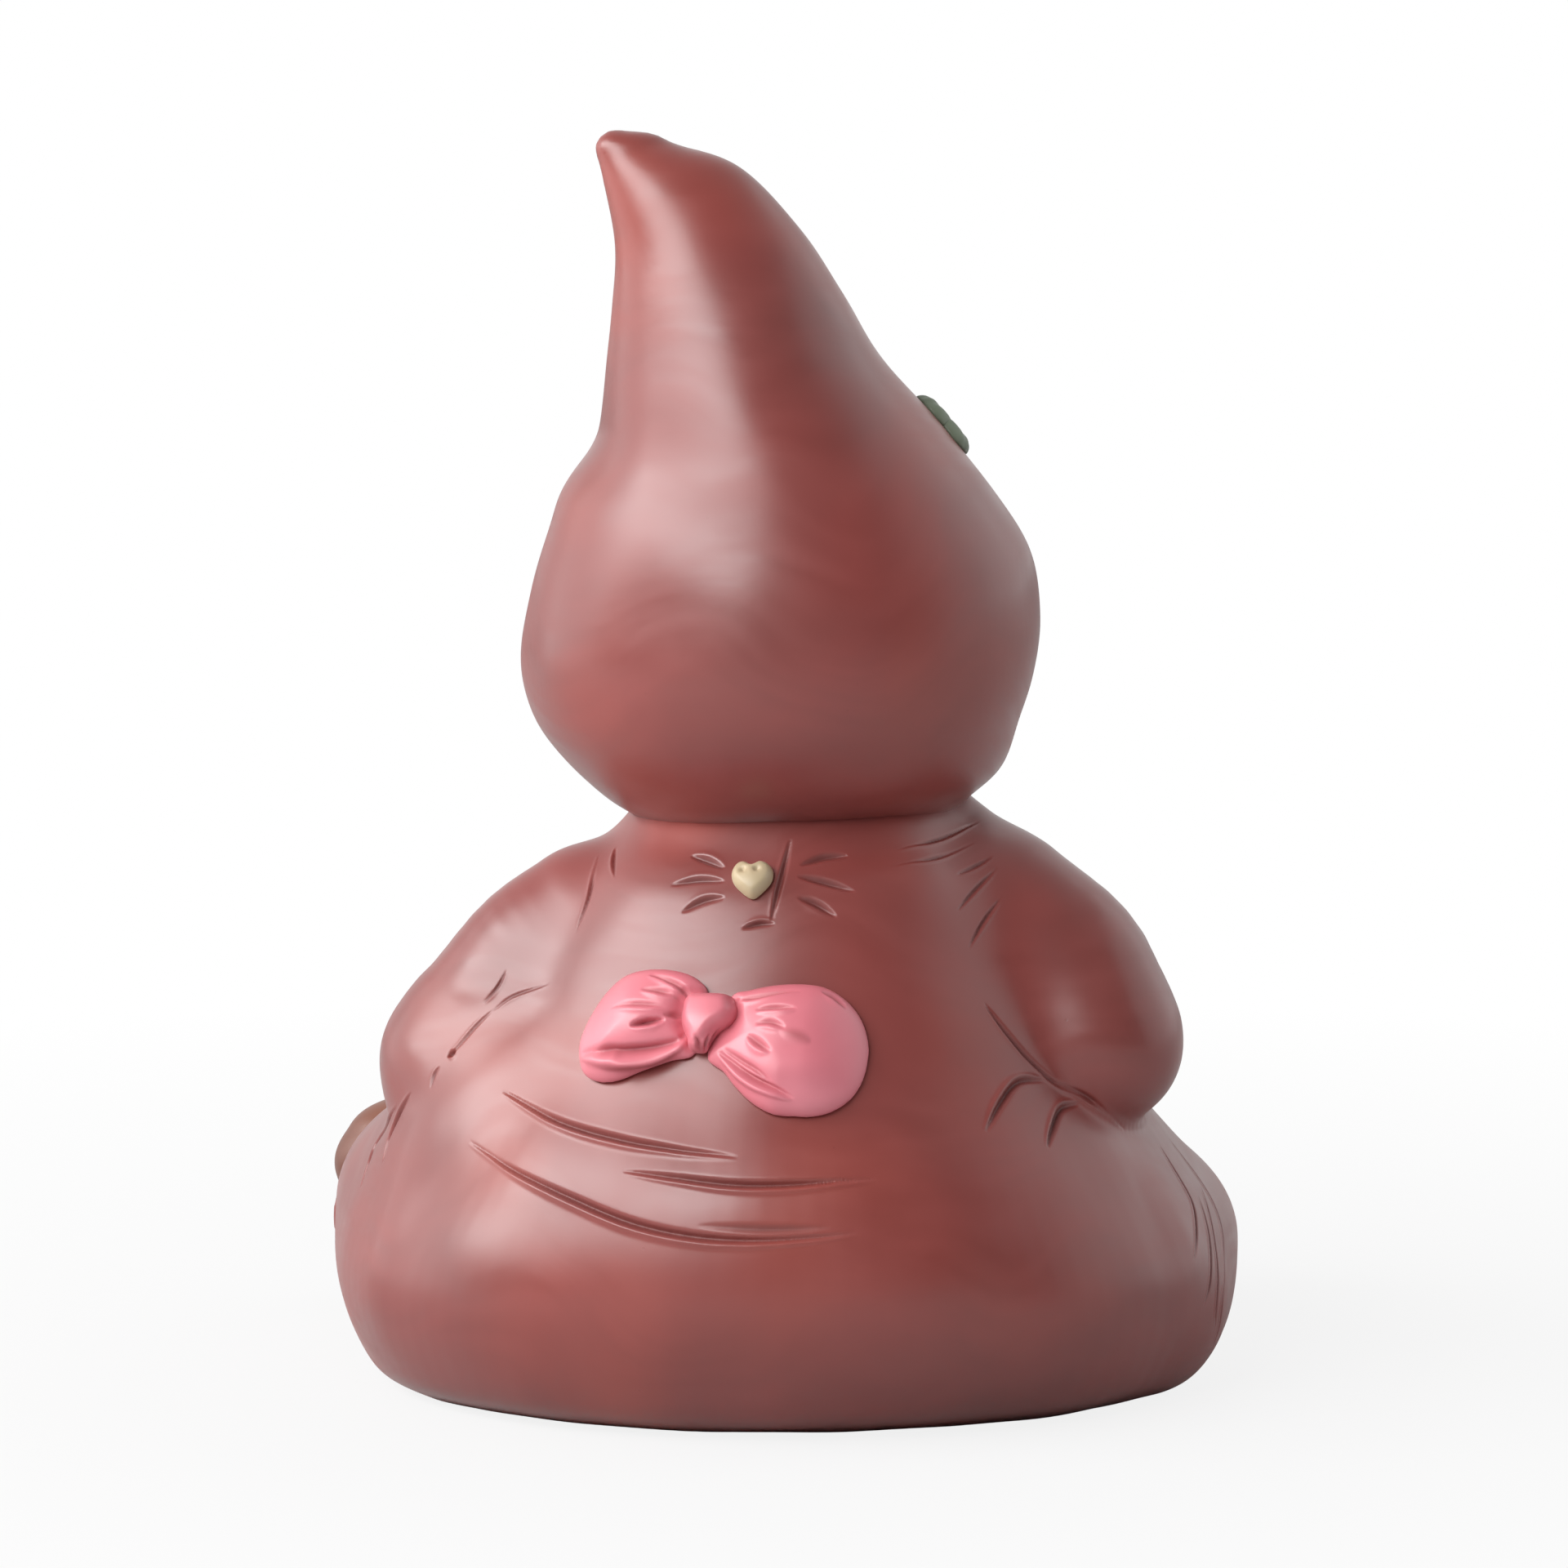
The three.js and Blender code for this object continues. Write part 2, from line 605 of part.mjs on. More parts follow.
function peakHollow() {
  const sections = peak.slice(0, 3).map((section) => inset(section, wall));
  const domes = { startDome: 2 * wall, endDome: wall };
  return solidOf(loft(sections, { sides: smallSides, level: true, ...domes }), placeOf(head));
}

// Leaves on the hood
const leafShape = [
  { along: 0.02, width: 0.35 },
  { along: 0.3, width: 0.85 },
  { along: 0.55, width: 1 },
  { along: 0.8, width: 0.7 },
  { along: 0.97, width: 0.2 },
];

function leafGeometry(angle) {
  const sprigHeight = bulb.at(-1).at[2] + sprigPlace.above;
  const sprigForward = sprigPlace.forward * headHalf.depth;
  const start = new THREE.Vector3(-farOut, -sprigForward, sprigHeight).applyMatrix4(placeOf(head));
  const inward = xAxis.clone().transformDirection(placeOf(head));
  const direction = new THREE.Vector3(0, -Math.cos(turn(angle)), Math.sin(turn(angle)));
  const sections = leafShape.map(({ along, width }) => {
    const from = start.clone().addScaledVector(direction, along * leafLength);
    const { point } = onSurface(hood, from, inward);
    return { at: point.toArray(), side: leafHalfWidth * width, over: leafThickness, under: leafThickness };
  });
  const { normal } = onSurface(hood, start, inward);
  return loft(sections, { sides: 10, reference: normal, startDome: 0.5, endDome: 0.5 });
}

const hoodSeat = seatFor(hoodOuter);
const leafSeats = [];
for (const [name, angle] of Object.entries(leafAngles)) {
  const leaf = addPiece(`leaf_${name}`, leafGeometry(angle), leafPaint);
  carve(leaf, hoodSeat, ...leafSeats);
  leafSeats.push(seatFor(worldSolid(leaf)));
}
carve(hood, bodySeat, tubeSocket, headSeat, faceOpening(), peakHollow());

// Heart button, with two dimples for its thread
function heartGeometry() {
  const w = buttonWidth / 2;
  const h = buttonHeight / 2;
  const outline = new THREE.Shape()
    .moveTo(0, -h)
    .bezierCurveTo(w * 0.55, -h * 0.75, w, -h * 0.1, w, h * 0.35)
    .bezierCurveTo(w, h * 1.1, w * 0.25, h * 1.15, 0, h * 0.68)
    .bezierCurveTo(-w * 0.25, h * 1.15, -w, h * 1.1, -w, h * 0.35)
    .bezierCurveTo(-w, -h * 0.1, -w * 0.55, -h * 0.75, 0, -h);
  const { thickness: bevelThickness, size: bevelSize } = buttonRounding;
  const rounding = { bevelThickness, bevelSize, bevelOffset: -bevelSize, bevelSegments: 2 };
  const plate = new THREE.ExtrudeGeometry(outline, { depth: buttonThickness, curveSegments: 6, ...rounding });
  const ball = ellipsoid([dimpleRadius, dimpleRadius, dimpleRadius], 6);
  ball.translate(0, h / 4, buttonThickness + dimpleRise);
  const dimples = [-w / 3, w / 3].map((across) => ball.clone().translate(across, 0, 0));
  const cut = dimples.reduce((solid, dimple) => solid.subtract(solidOf(dimple)), solidOf(plate));
  return geometryOf(cut).translate(0, 0, -buttonThickness / 2);
}

function standOnBack(piece, { around: degrees }, height) {
  const { point, normal } = onBack(degrees, height);
  piece.position.copy(point);
  piece.up.copy(zAxis);
  piece.lookAt(point.clone().add(normal));
  return piece;
}

const button = addPiece("heart_button", heartGeometry(), buttonPaint);
carve(standOnBack(button, buttonPlace, levelOf("collar") + buttonPlace.above), bodySeat);

// Bow
function bowLoop(stops) {
  const sections = stops.map(({ around: degrees, above, halfHeight, thickness }) => {
    const { point } = onBack(degrees, levelOf("waist") + above);
    return { at: point.toArray(), side: thickness, over: halfHeight, under: halfHeight };
  });
  return loft(sections, { sides: 16, reference: zAxis, startDome: 1, endDome: bowEndDome });
}

const knotGeometry = ellipsoid([knotHalf.side, knotHalf.height, knotHalf.thick], 14);
const knot = addPiece("bow_knot", knotGeometry, bowPaint);
standOnBack(knot, knotPlace, levelOf("waist") + knotPlace.above);
const knotSeat = seatFor(worldSolid(knot));
carve(knot, bodySeat);
for (const [side, stops] of Object.entries(bowLoops)) {
  carve(addPiece(`bow_${side}_loop`, bowLoop(stops), bowPaint), bodySeat, knotSeat);
}

carve(body, bodyCavity(), vent(), tubeSocket, ...foldTools);

export default figure;
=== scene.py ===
import math

import bpy
import numpy as np
import openvdb
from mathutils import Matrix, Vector, noise
from mathutils.bvhtree import BVHTree


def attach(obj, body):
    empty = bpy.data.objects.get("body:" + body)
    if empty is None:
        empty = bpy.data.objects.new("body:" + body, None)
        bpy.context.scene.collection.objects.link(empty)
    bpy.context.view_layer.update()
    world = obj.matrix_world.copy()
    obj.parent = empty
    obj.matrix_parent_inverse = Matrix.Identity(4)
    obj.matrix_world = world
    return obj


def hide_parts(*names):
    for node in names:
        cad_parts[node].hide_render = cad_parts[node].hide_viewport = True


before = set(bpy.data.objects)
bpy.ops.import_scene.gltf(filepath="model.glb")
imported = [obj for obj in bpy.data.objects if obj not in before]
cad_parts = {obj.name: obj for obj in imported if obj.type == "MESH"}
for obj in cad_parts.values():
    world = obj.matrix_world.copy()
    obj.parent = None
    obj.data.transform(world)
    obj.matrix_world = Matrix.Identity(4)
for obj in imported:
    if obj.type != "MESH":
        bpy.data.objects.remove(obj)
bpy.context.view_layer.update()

# A seated nisse figure in hand-built, painted clay. Forms are worked out in millimetres and handed to
# Blender in metres. As in the CAD model, the figure faces -Y, its left hand is on +X, and the floor
# is at zero.
MM = 0.001
X, Y, Z = np.eye(3)

# The photograph's camera, behind the figure
PHOTO_WIDTH = 1920
PIXELS_PER_MM = 9.68
CAMERA_DISTANCE = 1100.0
CAMERA_ELEVATION = math.radians(8)
CAMERA_TARGET = np.array([0.0, 0.0, 76.6])
SENSOR_WIDTH = 36.0

view_back = np.array([0, math.cos(CAMERA_ELEVATION), math.sin(CAMERA_ELEVATION)])
view_up = np.array([0, -math.sin(CAMERA_ELEVATION), math.cos(CAMERA_ELEVATION)])
view_right = np.cross(view_up, view_back)
camera_at = CAMERA_TARGET + CAMERA_DISTANCE * view_back


def pixel_ray(pixel):
    """The unit direction from the camera through a pixel of the photograph."""
    half = PHOTO_WIDTH / 2
    across = (pixel[0] - half) / PIXELS_PER_MM
    up = (half - pixel[1]) / PIXELS_PER_MM
    through = CAMERA_TARGET + across * view_right + up * view_up - camera_at
    return through / np.linalg.norm(through)


# Curves and skins

def spline(rows, steps):
    """A Catmull-Rom curve through the rows, with so many steps to a span."""
    rows = np.asarray(rows, float)
    ends = np.vstack([2 * rows[0] - rows[1], rows, 2 * rows[-1] - rows[-2]])
    t = np.linspace(0, 1, steps, endpoint=False)[:, None]
    parts = []
    for a, b, c, d in zip(ends, ends[1:], ends[2:], ends[3:]):
        bend, turn = 2 * a - 5 * b + 4 * c - d, 3 * b - a - 3 * c + d
        parts.append(0.5 * (2 * b + (c - a) * t + bend * t**2 + turn * t**3))
    return np.vstack(parts + [rows[-1:]])


def unit(vectors):
    return vectors / np.linalg.norm(vectors, axis=-1, keepdims=True)


def loft(sections, level=False, reference=Y, start=0.0, end=0.0, sides=96, steps=10):
    """A closed skin through sections of (x, y, z, half-width, reach over, reach under), with domed ends."""
    rows = spline(sections, steps)
    centres, reach = rows[:, :3], rows[:, 3:]
    path = np.tile(Z, (len(rows), 1)) if level else unit(np.gradient(centres, axis=0))
    dome = np.radians(np.arange(80, 0, -10))

    def cap(index, depth):
        middle = centres[index] + depth * np.sin(dome)[:, None] * path[index]
        return middle, np.tile(path[index], (len(dome), 1)), reach[index] * np.cos(dome)[:, None]

    if start:
        parts = zip(cap(0, -start), (centres, path, reach))
        centres, path, reach = (np.vstack([added, kept]) for added, kept in parts)
    if end:
        parts = zip(cap(-1, end), (centres, path, reach))
        centres, path, reach = (np.vstack([kept, added[::-1]]) for added, kept in parts)
    u = np.tile(X, (len(path), 1)) if level else unit(np.cross(reference, path))
    v = np.cross(path, u)
    angle = np.linspace(0, 2 * math.pi, sides, endpoint=False)
    across = np.cos(angle) * reach[:, :1]
    over = np.sin(angle) * np.where(np.sin(angle) > 0, reach[:, 1:2], reach[:, 2:3])
    rings = centres[:, None] + across[..., None] * u[:, None] + over[..., None] * v[:, None]
    count = len(rings)
    points = np.vstack([rings.reshape(-1, 3), centres[:1], centres[-1:]])
    j = np.arange(sides)
    following = (j + 1) % sides
    low = (np.arange(count - 1) * sides)[:, None]
    a, b = (low + j).ravel(), (low + following).ravel()
    c, d = b + sides, a + sides
    first, last = count * sides, count * sides + 1
    top = (count - 1) * sides
    triangles = np.vstack([
        np.column_stack([a, b, c]), np.column_stack([a, c, d]),
        np.column_stack([np.full(sides, first), following, j]),
        np.column_stack([np.full(sides, last), top + j, top + following]),
    ])
    return points, triangles


class Clay:
    """A block of clay as a field of distances in mm on an even grid: negative inside, positive outside."""

    def __init__(self, low, high, pitch, band=8.0):
        self.low = np.array(low, float)
        self.pitch = pitch
        self.band = band
        self.shape = tuple(np.ceil((np.array(high) - self.low) / pitch).astype(int) + 1)
        steps = [low[k] + pitch * np.arange(self.shape[k]) for k in range(3)]
        self.x, self.y, self.z = steps[0][:, None, None], steps[1][None, :, None], steps[2][None, None, :]
        self.field = np.full(self.shape, band, np.float32)

    def of_skin(self, skin):
        points, triangles = skin
        inside = ((points - self.low) / self.pitch).astype(np.float32)
        grid = openvdb.FloatGrid.createLevelSetFromPolygons(
            inside, triangles=triangles.astype(np.uint32), halfWidth=self.band / self.pitch)
        distances = np.empty(self.shape, np.float32)
        grid.copyToArray(distances)
        return distances * self.pitch

    def of_ellipsoid(self, middle, half):
        p = [(axis - m) for axis, m in zip((self.x, self.y, self.z), middle)]
        near = np.sqrt(sum((q / h) ** 2 for q, h in zip(p, half)))
        slope = np.sqrt(sum((q / h**2) ** 2 for q, h in zip(p, half)))
        return (near * (near - 1) / np.maximum(slope, 1e-6)).astype(np.float32)

    def of_limb(self, points, radii):
        """Distance to a chain of cone pieces with round ends."""
        best = None
        for a, b, r, s in zip(points, points[1:], radii, radii[1:]):
            a, b = np.array(a, float), np.array(b, float)
            along = b - a
            p = [axis - m for axis, m in zip((self.x, self.y, self.z), a)]
            t = np.clip(sum(q * d for q, d in zip(p, along)) / (along @ along), 0, 1)
            away = np.sqrt(sum((q - t * d) ** 2 for q, d in zip(p, along))) - (r + (s - r) * t)
            best = away if best is None else np.minimum(best, away)
        return best.astype(np.float32)

    def add(self, distances, blend=0.0):
        self.field = soft_least(self.field, distances, blend)

    def cut(self, distances, blend=0.0):
        self.field = -soft_least(-self.field, distances, blend)

    def soften(self, radius):
        reach = int(math.ceil(2.5 * radius / self.pitch))
        taps = np.exp(-0.5 * (np.arange(-reach, reach + 1) * self.pitch / radius) ** 2)
        taps /= taps.sum()
        for axis in range(3):
            width = [(reach, reach) if k == axis else (0, 0) for k in range(3)]
            padded = np.pad(self.field, width, mode="edge")
            total = np.zeros_like(self.field)
            for k, tap in enumerate(taps):
                window = [slice(None)] * 3
                window[axis] = slice(k, k + self.shape[axis])
                total += np.float32(tap) * padded[tuple(window)]
            self.field = total

    def skin(self):
        """The surface as points in mm and quads that face out."""
        grid = openvdb.FloatGrid(self.band)
        grid.copyFromArray(np.ascontiguousarray(self.field))
        points, quads = grid.convertToQuads(0.0)
        return points.astype(float) * self.pitch + self.low, quads.astype(np.int64)


def soft_least(a, b, blend):
    if np.isscalar(blend) and blend <= 0:
        return np.minimum(a, b)
    share = np.maximum(blend - np.abs(a - b), 0) / blend
    return (np.minimum(a, b) - share**2 * blend / 4).astype(np.float32)


def vertex_normals(points, quads):
    a, b, c, d = (points[quads[:, k]] for k in range(4))
    across = np.cross(c - a, d - b)
    normals = np.zeros_like(points)
    for k in range(4):
        for axis in range(3):
            normals[:, axis] += np.bincount(quads[:, k], across[:, axis], len(points))
    return unit(normals + 1e-12)


def relax(points, quads, rounds, strength=0.5):
    """Moves each point towards the middle of its neighbours."""
    edges = np.vstack([quads[:, [k, (k + 1) % 4]] for k in range(4)])
    ends = np.concatenate([edges[:, 0], edges[:, 1]])
    others = np.concatenate([edges[:, 1], edges[:, 0]])
    counts = np.bincount(ends, minlength=len(points))[:, None]
    for _ in range(rounds):
        sums = np.column_stack([np.bincount(ends, points[others, axis], len(points)) for axis in range(3)])
        points = points + strength * (sums / counts - points)
    return points


def roughen(points, normals, size, depth, seed):
    """Small hollows and rises, as fingers leave them in clay."""
    shift = Vector((seed, 2.3 * seed, 4.1 * seed))
    waves = np.array([noise.noise(Vector(p) / size + shift) for p in points])
    return points + (depth * waves)[:, None] * normals


ONTO_CURVE = 0.6  # share of the way that a new point moves onto the curve of the surface


def refine(points, quads, flagged, cuts):
    """Splits the flagged quads into cuts x cuts smaller ones, rounded over by their corners' normals."""
    normals = vertex_normals(points, quads)
    start, end = quads, np.roll(quads, -1, axis=1)
    key = np.minimum(start, end) * len(points) + np.maximum(start, end)
    edges, edge_of = np.unique(key, return_inverse=True)
    edge_of = edge_of.reshape(quads.shape)
    split = np.zeros(len(edges), bool)
    split[edge_of[flagged].ravel()] = True
    split_index = np.cumsum(split) - 1
    a, b = np.divmod(edges[split], len(points))
    shares = np.arange(1, cuts) / cuts

    def rounded(corner_ids, weights):
        """Points at the given weights of the corners, moved towards the curve of the surface."""
        corners, facing = points[corner_ids], normals[corner_ids]
        flat = np.einsum("sk,nkc->nsc", weights, corners)
        away = np.einsum("nskc,nkc->nsk", flat[:, :, None] - corners[:, None], facing)
        lift = np.einsum("nsk,sk,nkc->nsc", away, weights, facing)
        return flat - ONTO_CURVE * lift

    on_edges = rounded(np.column_stack([a, b]), np.column_stack([1 - shares, shares]))
    first_edge_point = len(points)
    s, t = (grid.ravel() for grid in np.meshgrid(shares, shares, indexing="ij"))
    weights = np.column_stack([(1 - s) * (1 - t), s * (1 - t), s * t, (1 - s) * t])
    in_faces = rounded(quads[flagged], weights)
    first_face_point = first_edge_point + on_edges.shape[0] * (cuts - 1)
    all_points = np.vstack([points, on_edges.reshape(-1, 3), in_faces.reshape(-1, 3)])

    def along(faces, side):
        """The new points on one side of each face, in that side's direction."""
        order = split_index[edge_of[faces, side]][:, None]
        ids = first_edge_point + order * (cuts - 1) + np.arange(cuts - 1)
        turned = start[faces, side] > end[faces, side]
        return np.where(turned[:, None], ids[:, ::-1], ids)

    chosen = np.flatnonzero(flagged)
    grid = np.empty((len(chosen), cuts + 1, cuts + 1), np.int64)
    grid[:, 0, 0], grid[:, -1, 0], grid[:, -1, -1], grid[:, 0, -1] = quads[chosen].T
    grid[:, 1:-1, 0], grid[:, -1, 1:-1] = along(chosen, 0), along(chosen, 1)
    grid[:, 1:-1, -1], grid[:, 0, 1:-1] = along(chosen, 2)[:, ::-1], along(chosen, 3)[:, ::-1]
    inner = first_face_point + np.arange(len(chosen) * (cuts - 1) ** 2)
    grid[:, 1:-1, 1:-1] = inner.reshape(len(chosen), cuts - 1, cuts - 1)
    small = np.stack([grid[:, :-1, :-1], grid[:, 1:, :-1], grid[:, 1:, 1:], grid[:, :-1, 1:]], axis=-1)
    small = small.reshape(-1, 4)
    beside = ~flagged & split[edge_of].any(axis=1)
    polygons = []
    for face in np.flatnonzero(beside):
        corners = []
        for side in range(4):
            corners.append(quads[face, side])
            if split[edge_of[face, side]]:
                corners.extend(along(np.array([face]), side)[0])
        polygons.append(corners)
    return all_points, np.vstack([quads[~flagged & ~beside], small]), polygons


def make_mesh(name, points, quads, material, polygons, attributes):
    mesh = bpy.data.meshes.new(name)
    others = np.array([corner for polygon in polygons for corner in polygon], np.int64)
    corners = np.concatenate([quads.ravel(), others])
    sizes = np.concatenate([np.full(len(quads), 4), np.array([len(p) for p in polygons], np.int64)])
    mesh.vertices.add(len(points))
    mesh.vertices.foreach_set("co", (points * MM).astype(np.float32).ravel())
    mesh.loops.add(len(corners))
    mesh.loops.foreach_set("vertex_index", corners.astype(np.int32))
    mesh.polygons.add(len(sizes))
    mesh.polygons.foreach_set("loop_start", (np.cumsum(sizes) - sizes).astype(np.int32))
    mesh.update(calc_edges=True)
    mesh.polygons.foreach_set("use_smooth", np.ones(len(sizes), bool))
    for key, values in attributes.items():
        mesh.attributes.new(key, "FLOAT", "POINT").data.foreach_set("value", values.astype(np.float32))
    mesh.validate()
    piece = bpy.data.objects.new(name, mesh)
    mesh.materials.append(material)
    bpy.context.scene.collection.objects.link(piece)
    return piece


def tree_of(points, quads):
    return BVHTree.FromPolygons(points.tolist(), quads.tolist())


# Marks in the clay. A stroke is a line drawn on a surface from one side of the figure.

FAR_OUT = 300.0
STROKE_STEPS = 24
STROKE_BLOCK = 4000
STROKE_TAPER = 0.9
END_WIDTH = 0.4  # share of the width that is left at a stroke's ends
STROKE_REACH, LIP_AWAY, LIP_SPREAD = 4, 1.7, 1.1  # in widths of the groove
FINE_WIDTHS, FINE_MARGIN = 2.6, 0.6  # the mesh is finer so many widths and mm around a stroke


def photo_rays(pixels):
    return [(camera_at, pixel_ray(pixel)) for pixel in pixels]


def front_rays(spots):
    return [(np.array([x, -FAR_OUT, z]), Y) for x, z in spots]


class Stroke:
    """A groove with a gaussian section, and a lip pushed up to the right of it, seen along it."""

    def __init__(self, rays, width, depth, lip):
        self.rays = rays
        self.width = width
        self.depth = depth
        self.lip = lip

    def lay(self, tree):
        """Finds the stroke's line on a surface, if it meets it."""
        spots = []
        for origin, direction in self.rays:
            spot, normal, _, _ = tree.ray_cast(Vector(origin), Vector(direction))
            if spot is not None:
                spots.append([*spot, *normal])
        if len(spots) < 2:
            return False
        rows = spline(spots, STROKE_STEPS)
        self.line, self.facing = rows[:, :3], unit(rows[:, 3:])
        self.along = unit(np.gradient(self.line, axis=0))
        lengths = np.linalg.norm(np.diff(self.line, axis=0), axis=1)
        self.share = np.concatenate([[0], np.cumsum(lengths)]) / lengths.sum()
        return True

    def near(self, points, reach):
        low, high = self.line.min(0) - reach, self.line.max(0) + reach
        candidates = np.flatnonzero(((points > low) & (points < high)).all(axis=1))
        if not len(candidates):
            return candidates, None, None
        closest = np.empty(len(candidates), np.int64)
        distance = np.empty(len(candidates))
        for block in range(0, len(candidates), STROKE_BLOCK):
            part = candidates[block:block + STROKE_BLOCK]
            gaps = np.linalg.norm(points[part, None] - self.line[None], axis=2)
            closest[block:block + STROKE_BLOCK] = gaps.argmin(axis=1)
            distance[block:block + STROKE_BLOCK] = gaps.min(axis=1)
        chosen = distance < reach
        return candidates[chosen], closest[chosen], distance[chosen]

    def press(self, points, normals):
        """How far each point moves out, and how deep in the groove it lies, from 0 to 1."""
        chosen, closest, distance = self.near(points, STROKE_REACH * self.width)
        move, hollow = np.zeros(len(points)), np.zeros(len(points))
        if len(chosen):
            side = np.cross(self.along[closest], self.facing[closest])
            offset = np.einsum("nk,nk->n", points[chosen] - self.line[closest], side)
            signed = np.sign(offset) * distance
            share = self.share[closest]
            ends = np.clip(4 * share * (1 - share), 0, 1) ** STROKE_TAPER
            width = self.width * (END_WIDTH + (1 - END_WIDTH) * ends)
            groove = ends * np.exp(-(distance / width) ** 2)
            rise = ends * np.exp(-((signed - LIP_AWAY * width) / (LIP_SPREAD * width)) ** 2)
            move[chosen] = self.depth * (self.lip * rise - groove)
            hollow[chosen] = groove
        return move, hollow


def press_strokes(points, quads, strokes, cuts=1):
    """Presses strokes into a surface, refined around them, and returns it with its polygons and hollows,
    which the paint darkens as painted shade.
    """
    tree = tree_of(points, quads)
    flagged = np.zeros(len(points), bool)
    strokes = [stroke for stroke in strokes if stroke.lay(tree)]
    for stroke in strokes:
        chosen, _, _ = stroke.near(points, FINE_WIDTHS * stroke.width + FINE_MARGIN)
        flagged[chosen] = True
    polygons = []
    normals = vertex_normals(points, quads)
    if cuts > 1:
        points, quads, polygons = refine(points, quads, flagged[quads].any(axis=1), cuts)
        normals = vertex_normals(points, quads)
    moves, hollows = np.zeros(len(points)), np.zeros(len(points))
    for stroke in strokes:
        move, hollow = stroke.press(points, normals)
        moves += move
        hollows = np.maximum(hollows, hollow)
    return points + moves[:, None] * normals, quads, polygons, hollows


CLEAR = 40.0  # how far above a patch its surface is looked for


class Patch:
    """A flat working plane on a surface: u to the right, v up and w out of it, as seen from outside."""

    def __init__(self, tree, origin, direction, lean=Z):
        spot, normal, _, _ = tree.ray_cast(Vector(origin), Vector(direction))
        self.tree = tree
        self.origin, self.w = np.array(spot), np.array(normal)
        self.v = unit(lean - (lean @ self.w) * self.w)
        self.u = np.cross(self.v, self.w)
        self.axes = np.vstack([self.u, self.v, self.w])

    def flatten(self, rays):
        """Where rays cross the plane, as (u, v)."""
        spots = []
        for origin, direction in rays:
            reach = (self.origin - origin) @ self.w / (direction @ self.w)
            spots.append(self.axes[:2] @ (origin + reach * direction - self.origin))
        return np.array(spots)

    def lift(self, points):
        return self.origin + points @ self.axes

    def ground(self, u, v):
        """Height of the surface under each point of a grid in the plane."""
        heights = np.zeros((len(u), len(v)))
        for i, across in enumerate(u):
            for j, up in enumerate(v):
                start = self.origin + across * self.u + up * self.v + CLEAR * self.w
                spot, _, _, away = self.tree.ray_cast(Vector(start), Vector(-self.w))
                heights[i, j] = CLEAR - away if spot is not None else -CLEAR
        return heights


def closed_spline(rows, steps):
    rows = np.asarray(rows, float)
    return spline(np.vstack([rows[-1:], rows, rows[:2]]), steps)[steps:-steps - 1]


def outline_distance(outline, u, v):
    """Distance in a plane from a grid of points to a closed outline, negative inside."""
    nearest = np.full(np.broadcast(u, v).shape, np.inf)
    inside = np.zeros(nearest.shape, bool)
    for (au, av), (bu, bv) in zip(outline, np.roll(outline, -1, axis=0)):
        du, dv = bu - au, bv - av
        t = np.clip(((u - au) * du + (v - av) * dv) / (du**2 + dv**2), 0, 1)
        nearest = np.minimum(nearest, (u - au - t * du) ** 2 + (v - av - t * dv) ** 2)
        if dv:
            inside ^= ((av > v) != (bv > v)) & (u < au + (v - av) * du / dv)
    return np.where(inside, -1, 1) * np.sqrt(nearest)


def cushion(patch, outline, height, pitch, rounding, undercut=0.0, swell=0.0, sink=0.8):
    """A pad of clay pressed on a surface, with an outline in the plane and height(u, v, edge) above it."""
    margin = 3 * pitch + swell
    low, high = outline.min(0) - margin, outline.max(0) + margin
    u, v = np.arange(low[0], high[0], pitch), np.arange(low[1], high[1], pitch)
    ground = patch.ground(u, v)
    edge = outline_distance(outline, u[:, None], v[None]) - swell
    top = height(u[:, None], v[None], edge)
    bottom = ground[ground > -CLEAR].min() - sink - margin
    clay = Clay((u[0], v[0], bottom), (u[-1], v[-1], (ground + top).max() + margin), pitch, band=3.0)
    above = clay.z[0, 0] - ground[:, :, None]
    side = edge[:, :, None] + undercut * np.clip(1 - above / (0.5 * top[:, :, None]), 0, 1) ** 2
    body = -soft_least(-side, -(above - top[:, :, None]), rounding)
    shape = np.maximum(body, -sink - above)
    clay.field = np.minimum(shape, clay.band).astype(np.float32)[:clay.shape[0], :clay.shape[1]]
    points, quads = clay.skin()
    return patch.lift(relax(points, quads, 2)), quads


# Forms of the figure, in mm

BODY_SECTIONS = [
    # height, half-width, reach behind, reach before
    (0, 47, 33, 29),
    (4, 53, 41, 32),
    (16, 56, 47, 34),
    (30, 49, 45, 33),
    (43, 40.5, 38, 30.5),
    (56, 34, 31.5, 26.5),
    (66, 28.5, 26.5, 22.5),
    (71, 23, 22, 19),
    (75, 20, 19, 17),
]
BODY_TOP = BODY_SECTIONS[-1][0]
NECK_ASIDE = 1.9
SIDES = {"left": 1, "right": -1}
# Arm: how far out, back and up the shoulder, the middle of the upper arm and the elbow are
ARM_SPOTS = {
    "left": [(25.5, 3.5, 61), (32.5, 2.5, 53.7), (40.1, 1, 41.4)],
    "right": [(28.8, 5, 62), (35.2, 8, 55), (39, 11, 45.5)],
}
UPPER_ARM = {"left": [8.1, 9.5, 10.6], "right": [7.4, 9.4, 10.6]}
BLEND_HEIGHTS = [40, 52, 58, 66]
ARM_BLENDS = {"left": [1.8, 9, 6.5, 3.5], "right": [1.8, 7, 9.8, 9.8]}
ANKLE_OUT = {"left": 9.5, "right": 1}
LEG_LIFT = {"left": 1.0, "right": 0.84}
KNEE_X = 38
LEG_END_Y = -41
WRIST_Y = -33
FOREARM = [10.4, 10, 8.2]
CUFF_WALL, CUFF_DEPTH = 2.2, 2.5
VENT_RADIUS, VENT_BEHIND, VENT_DEPTH = 5, 20, 14
